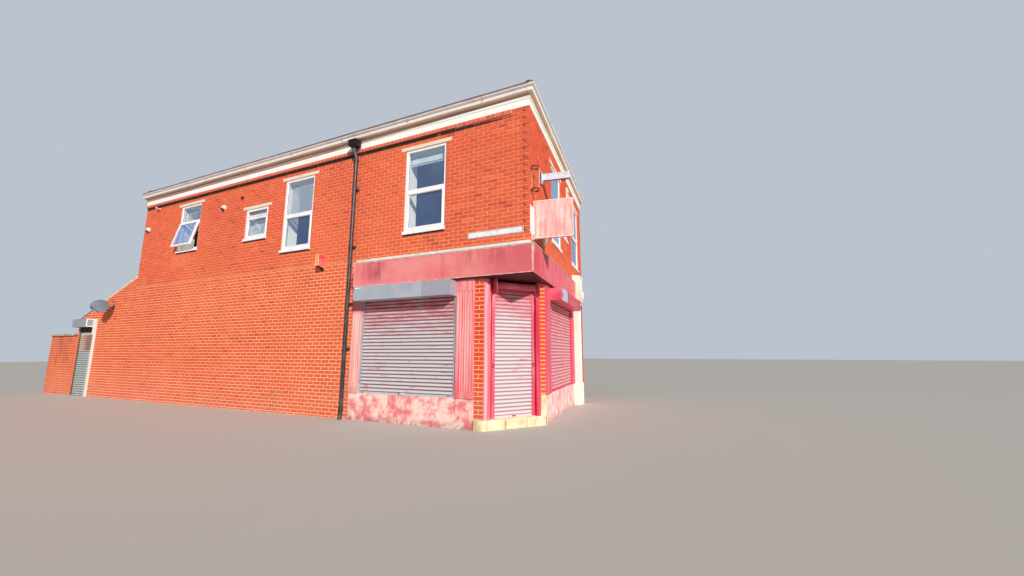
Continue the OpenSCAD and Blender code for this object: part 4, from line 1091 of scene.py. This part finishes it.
def window_trim(s):
    """Glazing beads and black gaskets round every pane, and a deeper rim on each low top light."""
    seals, i = Shapes(), 0.012
    for to, w in WINDOWS:
        for a, b, z0, z1 in panes(w):
            s.rim(to, (a, b), (0.034, GLASS_V), (z0, z1), i)
            seals.rim(to, (a + i, b - i), (0.04, GLASS_V), (z0 + i, z1 - i), 0.005)
    for to, w in WINDOWS:
        if w[3] - w[4] < 0.3:
            a, b, z0, z1 = panes(w)[0]
            s.rim(to, (a, b), (0.013, GLASS_V), (z0, z1), 0.014, 0.001)
            seals.block(to, (a, b), (0.0185, 0.0205), (z0 - 0.045, z0 - 0.038))
    s.piece("glazing_beads", WHITE, "upvc")
    seals.piece("glazing_seals", DARK, "upvc")


def window_linings(s):
    """Plaster on the sides and head of each window's opening, and a board at its foot."""
    back, t = (0.092, WALL + 0.09), 0.014
    for to, (u, width, z0, z1, _) in WINDOWS:
        end = u + width
        s.block(to, (u, u + t), back, (z0 + t, z1 - t))
        s.block(to, (end - t, end), back, (z0 + t, z1 - t))
        s.block(to, (u, end), back, (z1 - t, z1))
        s.block(to, (u - 0.02, end + 0.02), (0.34, WALL + 0.12), (z0 - 0.02, z0 + 0.02))
        s.block(to, (u, end), back, (z0, z0 + t))
    s.piece("window_linings", PLASTER, "render")


def blinds(s):
    """Rigid slatted blinds behind the side windows, half open above a closed stack at the foot."""
    hung = (
        (5.8, 6.076, 0.13, 0.4), (5.13, 6.076, 0.03, 0.5),
        (4.74, 5.22, 0.03, 0.62), (5.6, 6.076, 0.03, 0.35))
    for (u, width, *_), (low, top, stack, shut) in zip(SIDE_WINDOWS, hung):
        a, b = u + 0.05, u + width - 0.05
        s.block(side, (a, b), (0.145, 0.18), (top - 0.035, top))
        z = top - 0.06
        while z > low:
            half = 0.0125 if z < low + stack else 0.012 * shut
            s.solid(*(quad(side, a, b, (v, z + h), (v + 0.002, z + h + 0.001))
                      for v, h in ((0.151, half), (0.147, -half))))
            z -= 0.024
        s.block(side, (a, b), (0.148, 0.17), (low - 0.028, low - 0.012))
        for cord in (a + 0.15, b - 0.15):
            s.block(side, (cord, cord + 0.005), (0.141, 0.143), (low, top))
    s.piece("window_blinds", white_mat("blind_white", "ecf6ec", "ced8ce", 0.2), "upvc")


def stays(s):
    """Steel arms that hold the open sash."""
    u, width, _, _, mid = OPEN_WINDOW
    top, tilt, drop = mid - TRANSOM / 2, math.radians(12), 0.42
    foot = (0.032 - math.sin(tilt) * drop, top - math.cos(tilt) * drop)
    for a in (u + FRAME_W + 0.004, u + width - FRAME_W - 0.016):
        ends = ((0.055, top - 0.18), foot)
        s.solid(*(quad(side, a, a + 0.012, (v, z), (v, z + 0.02)) for v, z in ends))
    s.piece("sash_stays", STEEL, "grey_metal")


# Shopfront


def fascia_board(to):
    """The leaning face of the fascia on a wall face."""
    return lambda u, v, z: to(u, v - 0.085 - (z - 2.96) * 0.022 / 0.56, z)


def fascia_trim(s):
    """Joints, edge strips and the peeling corner bead of the fascia boards."""
    left, low, high = -SHOP_SIDE + 0.03, 2.962, 3.518
    on_side, on_front = fascia_board(side), fascia_board(front)
    s.block(on_side, (left, left + 0.016), (-0.005, 0), (low, high), 0.001)
    s.block(on_side, (left, 0.07), (-0.008, 0), (low, low + 0.018), 0.002)
    s.block(on_side, (left, 0.08), (-0.004, 0), (high - 0.02, high), 0.001)
    beads = paint_mat("bead_paint", "ec9696", "f8cec4", "c45460", 0.3, 0.45)
    s.piece("fascia_beads", beads, "pink_paint")
    s.block(on_side, (0.068, 0.098), (-0.004, 0), (low + 0.02, high), 0.001)
    s.block(on_front, (-0.092, -0.074), (-0.004, 0), (low + 0.02, high), 0.001)
    peeling = paint_mat("peeling_white", "e2c4b4", "f8eee4", "c46068", 0.12, 0.45, 0.2, 0.45)
    s.piece("fascia_corner", peeling, "white_paint")
    for u in (-1.896, -1.8535):
        s.block(on_side, (u, u + 0.004), (-0.0015, 0), (low + 0.02, high - 0.02))
    for u in (1.35, 2.7):
        s.block(on_front, (u, u + 0.004), (-0.0015, 0), (low, high))
    for k in range(16):
        u = 0.1 + k * 0.245
        s.block(on_front, (u, u + 0.008), (-0.002, 0), (high - 0.03, high - 0.006))
    s.piece("fascia_joints", paint_mat("joint_red", "8c343e", "ac4c54", SOOT, 0.3), "pink_paint")


def flashing_folds(s):
    """Laps in the lead over the fascia."""
    for to, start, step in ((side, -3.3, 1.02), (front, 0.6, 1)):
        for k in range(4):
            u = start + k * step
            s.block(to, (u, u + 0.05), (-0.121, -0.05), (3.5195, 3.534), 0.002)
            if to is side:
                s.block(side, (u, u + 0.05), (-0.011, 0), (3.56, 3.616), 0.001)
    s.piece("flashing_folds", PALE_LEAD, "lead")


def pilaster_trim(s):
    """Plinth blocks at the feet of the side pilasters, and screws in the flutes."""
    fluted = -DOOR_X - PIER_W - 0.402
    for u, width in ((-SHOP_SIDE, 0.257), (fluted, 0.29), (fluted + 0.296, 0.106)):
        s.block(side, (u, u + width), (-0.012, 0.001), (0, 0.575), 0.003)
    s.piece("pilaster_feet", stall_mat("feet_render"), "render")
    for u, z in (
            (-1.389, 2.695), (-1.291, 2.69), (-1.211, 2.685),
            (-4.097, 1.644), (-1.406, 1.525), (-1.38, 1.018)):
        s.stud(side, u, -0.03, z, 0.008, 0.003)
    s.piece("pilaster_screws", RUST, "rust_metal")


def step_stones(s):
    """The slabs that face the doorway's step, and the joints between them."""
    for to, *u in (
            (door, 0.02, 0.457), (door, 0.469, 0.924), (door, 0.936, DOOR_LEN - 0.02),
            (side, -1.154, -0.966)):
        s.block(to, u, (-0.026, -0.021), (0.002, 0.186), 0.004)
    s.block(door, (DOOR_LEN - 0.123, DOOR_LEN - 0.002), (-0.01, 0.001), (0.147, STALL_TOP - 0.002), 0.004)
    s.piece("step_stones", stone_mat("step_stone", "f2deae", "faf0d0", "b29268", 0.4, 1.6), "cream_paint")
    for to, *u in (
            (door, 0.457, 0.469), (door, 0.924, 0.936), (door, DOOR_LEN - 0.02, DOOR_LEN - 0.004),
            (side, -1.166, -1.154)):
        s.block(to, u, (-0.024, -0.021), (0.002, 0.185))
    grout = paint_mat("step_grout", "745c42", "967a5a", SOOT, 0.2, 0.4, 0.4, 0.4, (0.8, 0.95))
    s.piece("step_joints", grout, "cream_paint")


def shutter_fittings(s):
    """Locks, bolts, handles and box joints of the shutters, and a dark strip under the side shutter as
    painted shadow.
    """
    for u in (0.245, 1.145):
        s.block(door, (u - 0.02, u + 0.02), (0.072, 0.101), (1.18, 1.26), 0.004)
        s.stud(door, u, 0.074, 1.22, 0.008, 0.012)
    s.piece("door_locks", paint_mat("lock_red", "c8284c", "e2546e", SOOT, 0.3), "pink_metal")
    for u in (-3.9975, -1.5945):
        for z in (0.75, 1.3, 1.85, 2.4):
            s.stud(side, u, 0, z, 0.009, 0.004)
    for u in (-3.905, -1.72):
        s.block(side, (u - 0.035, u + 0.035), (-0.001, 0.013), (0.602, 0.62), 0.002)
        s.stud(side, u, 0.001, 0.611, 0.006, 0.008)
    for u in (-2.93, -2.24):
        s.block(side, (u, u + 0.004), (-0.2915, -0.289), (2.607, 2.91))
    for k in range(9):
        s.stud(side, -3.95 + k * 0.29, -0.29, 2.622, 0.005, 0.003)
    s.piece("shutter_steel", STEEL, "grey_metal")
    s.block(side, (-4.004, -3.861), (-0.2915, -0.289), (2.868, 2.888), 0.0005)
    s.block(side, (-2.896, -2.796), (-0.012, 0.012), (0.6, 0.618), 0.003)
    s.piece("shutter_tabs", WHITE, "white_metal")
    s.block(door, (0.658, 0.748), (0.096, 0.112), (0.206, 0.226), 0.004)
    s.stud(door, 0.703, 0.098, 0.216, 0.008, 0.01)
    s.block(side, (-2.936, -2.901), (-0.01, 0.012), (0.6, 0.62), 0.003)
    # A painted shadow: a dark strip under the side shutter's bottom bar.
    s.block(side, (-4.02, -1.58), (0.02, 0.026), (0.5805, 0.588))
    s.piece("shutter_handles", DARK, "black_iron")


# Fittings


def plate_trim(s):
    """A thin dark line and fixings on the street plate; the plate itself is bare."""
    s.rim(side, (-1.332, -0.133), (-0.0155, -0.0135), (3.788, 3.907), 0.007)
    s.piece("plate_border", DARK, "white_metal")
    for u in (-1.22, -0.245):
        s.stud(side, u, -0.014, 3.8475, 0.009, 0.004)
    s.piece("plate_screws", STEEL, "grey_metal")


def sign_trim(s):
    """Edge frame of the bare panel, the bolts of its wall plate, and the arm's clamp and flange."""
    turn, length = 7.5, 0.78
    for degrees, *u in ((turn, -0.001, length), (turn + 180, -length, 0.001)):
        s.rim(face(0.018, 0.214, degrees), u, (-0.033, -0.029), (3.694, 4.472), 0.016, 0.001)
    s.piece("sign_rim", white_mat("rim_white", "f8e8e4", "e2a0a0", 0.3), "white_metal")
    for z in (3.82, 4.27):
        for u in (0.06, 0.205):
            s.stud(front, u, -0.018, z, 0.009, 0.006)
    for z in (5.15, 5.32):
        s.stud(front, 0.72, -0.05, z, 0.008, 0.005)
    s.piece("sign_bolts", STEEL, "grey_metal")
    arm = face(0.008, 0.842, turn)
    s.block(arm, (0.43, 0.53), (-0.046, 0.046), (5.185, 5.206), 0.003)
    s.rod(arm(0.48, -0.03, 5.17), arm(0.48, -0.03, 5.19), 0.016)
    s.block(arm, (0.47, 0.5), (-0.02, 0.02), (5.352, 5.372), 0.003)
    for u in (0.5, 0.55):
        s.stud(arm, u, -0.038, 5.305, 0.011, 0.006)
    s.piece("arm_clamp", RUST, "rust_metal")
    s.block(arm, (0.05, 0.44), (-0.0395, -0.038), (5.325, 5.331))
    s.block(arm, (0, 0.62), (-0.042, -0.038), (5.335, 5.353), 0.001)
    s.piece("arm_flange", white_mat("flange_white", "e2e6ea", "6e686c", 0.25), "white_metal")


def rain_hopper(s):
    """The hopper under the gutter, with a rim round its three open sides."""
    u0, u1, v0, v1 = -4.56, -4.32, -0.222, -0.05
    foot = quad(side, u0 + 0.05, u1 - 0.05, (v0 + 0.03, 6.425), (v1 - 0.03, 6.425))
    s.solid(foot, quad(side, u0, u1, (v0, 6.465), (v1, 6.465)))
    s.block(side, (u0, u1), (v0, v1), (6.465, 6.605))
    s.block(side, (u0 - 0.006, u1 + 0.006), (v0 - 0.006, v0 + 0.004), (6.59, 6.612))
    for u in (u0 - 0.006, u1 - 0.004):
        s.block(side, (u, u + 0.01), (v0 + 0.004, v1), (6.59, 6.612))
    iron = paint_mat("hopper_iron", "0d0c11", "18161c", "2c201e", 0.25, 0.3, 0.1, 0.1, (0.4, 0.6))
    s.piece("rain_hopper", iron, "black_iron")


def rain_pipe(s):
    """The rainwater pipe: a shoe, collars with ears, and a swan neck out to the hopper."""
    path = (
        (0, -0.03, 0.03), (0, -0.012, 0.09), (0, 0, 0.17), (0, 0, 6.17),
        (-0.006, -0.01, 6.215), (-0.026, -0.042, 6.33), (-0.03, -0.054, 6.37), (-0.03, -0.056, 6.44))
    s.tube([side(PIPE_U + u, PIPE_V + v, z) for u, v, z in path], PIPE_R, 20)
    wide = PIPE_R + 0.009
    for z in (0.2,) + COLLARS + (6.1,):
        collar = [(PIPE_R, 0), (wide, 0.004), (wide, 0.08), (PIPE_R, 0.088)]
        s.turned(side(PIPE_U, PIPE_V, z), (0, 0, 1), collar, 20)
    for z in COLLARS:
        s.block(side, (PIPE_U - 0.082, PIPE_U + 0.082), (-0.052, 0), (z + 0.02, z + 0.07), 0.004)
    iron = paint_mat("black_iron", "2c2a32", "4c4a52", "785446", 0.4, 0.3, 0.2, 0.15, (0.3, 0.55))
    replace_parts(s.piece("rain_pipe", iron, "black_iron"), "downpipe")
    for z in COLLARS:
        for u in (PIPE_U - 0.066, PIPE_U + 0.066):
            s.stud(side, u, -0.052, z + 0.045, 0.007, 0.006)
    s.piece("pipe_bolts", DARK, "black_iron")


def lamp_lenses(s):
    """Dark lenses under the round lights, and one on the main street's face."""
    lens = [(0.044, 0), (0.044, 0.028), (0.034, 0.04), (0.014, 0.046)]
    for u, z in ((-13.454, 5.52), (-9.504, 5.685)):
        s.turned(side(u, -0.045, z), (0, -0.55, -1), lens, 16)
    s.stud(front, 3.53, -0.045, 6.12, 0.04, 0.006)
    s.piece("lamp_lenses", DARK, "upvc")


def dish_trim(s):
    """A clamp on the dish's wall arm, and the bolts of its wall plate."""
    s.rod(side(-14.95, -0.1, 3.008), side(-14.95, -0.13, 3.008), 0.026, 14)
    for z in (2.95, 3.066):
        for u in (-14.98, -14.92):
            s.stud(side, u, -0.012, z, 0.008, 0.006)
    s.piece("dish_bolts", STEEL, "grey_metal")


def gate_trim(s):
    """The lock on the gate's bottom bar, and a rim on the end of its box."""
    s.block(side, (-16.62, -16.55), (-0.004, 0.012), (0.03, 0.055), 0.003)
    s.piece("gate_lock", WHITE, "white_metal")
    s.rim(face(GATE[1], 0, 90), (-0.196, 0), (-0.004, 0), (2.374, 2.646), 0.024, 0.001)
    s.piece("gate_box_rim", WHITE, "white_metal")


def coping_joints(s):
    """Mortar between the coping stones of the yard wall and the lean-to's verge."""
    for k in range(1, 4):
        u = YARD_X + k * 0.5
        s.block(side, (u, u + 0.012), (-0.0265, -0.02), (YARD_H + 0.003, YARD_H + 0.044))
        s.block(side, (u, u + 0.012), (-0.02, YARD_T + 0.02), (YARD_H + 0.046, YARD_H + 0.05))
    for k in range(1, 4):
        u = COPE_X + k * 0.46
        top = lean_top(u) + LEAN_ROOF + 0.018
        z, right_top = (top - 0.073, top), top + 0.01 * LEAN_RISE
        s.block(side, (u, u + 0.01), (-0.0135, -0.01), z, right_top=right_top)
    s.piece("coping_joints", mortar_mat("coping_mortar", "968470", "968470"), "stone")


# Camera and light


def set_camera():
    cam = bpy.data.cameras.new("camera")
    cam.sensor_width = 36
    cam.lens = 36 * 349.09 / 1024
    cam.shift_y = 18.06 / 1024
    cam.clip_start, cam.clip_end = 0.05, 400
    o = add("camera", cam)
    o.location = (8.8663, -8.9827, 1.4567)
    o.rotation_euler = (math.radians(90 + 7.685), 0, math.radians(21.053))
    bpy.context.scene.camera = o


def lay_floor():
    mat = Mat("floor", rough=0.9)
    mat.set("Base Color", rgba("c0bcb6"))
    mesh = bpy.data.meshes.new("floor")
    r = 90
    mesh.from_pydata([(-r, -r, 0), (r, -r, 0), (r, r, 0), (-r, r, 0)], [], [(0, 1, 2, 3)])
    mesh.materials.append(mat.m)
    add("floor", mesh)


def set_light():
    """A warm sun, and a blue sky that is brighter in the picture than in the light it gives."""
    sun = bpy.data.lights.new("key", "SUN")
    sun.energy = 3.9
    sun.angle = math.radians(3)
    sun.color = (1, 0.96, 0.9)
    key = add("key", sun)
    key.rotation_euler = Vector((0.6605, -0.6072, 0.4415)).to_track_quat("Z", "Y").to_euler()
    world = bpy.data.worlds.new("studio")
    bpy.context.scene.world = world
    world.use_nodes = True
    tree = world.node_tree
    sky = tree.nodes["Background"]
    sky.inputs[0].default_value = (0.8, 0.88, 1, 1)
    level = tree.nodes.new("ShaderNodeMapRange")
    level.inputs["To Min"].default_value = 0.28
    level.inputs["To Max"].default_value = 0.62
    seen = tree.nodes.new("ShaderNodeLightPath").outputs["Is Camera Ray"]
    tree.links.new(seen, level.inputs["Value"])
    tree.links.new(level.outputs[0], sky.inputs[1])
    bpy.context.scene.view_settings.view_transform = "Standard"


dress_all()
for build in (
        side_bricks, open_joints, window_reveals, front_bricks, rear_bricks, pier_bricks, lean_to_bricks,
        yard_bricks, chimney_bricks, roof_slates, lean_to_slates, ridge_collars, chimney_flashing,
        gutter_joints, window_trim, window_linings, blinds, stays, fascia_trim, flashing_folds,
        pilaster_trim, step_stones, shutter_fittings, plate_trim, sign_trim, rain_hopper, rain_pipe,
        lamp_lenses, dish_trim, gate_trim, coping_joints):
    build(Shapes())
set_camera()
lay_floor()
set_light()
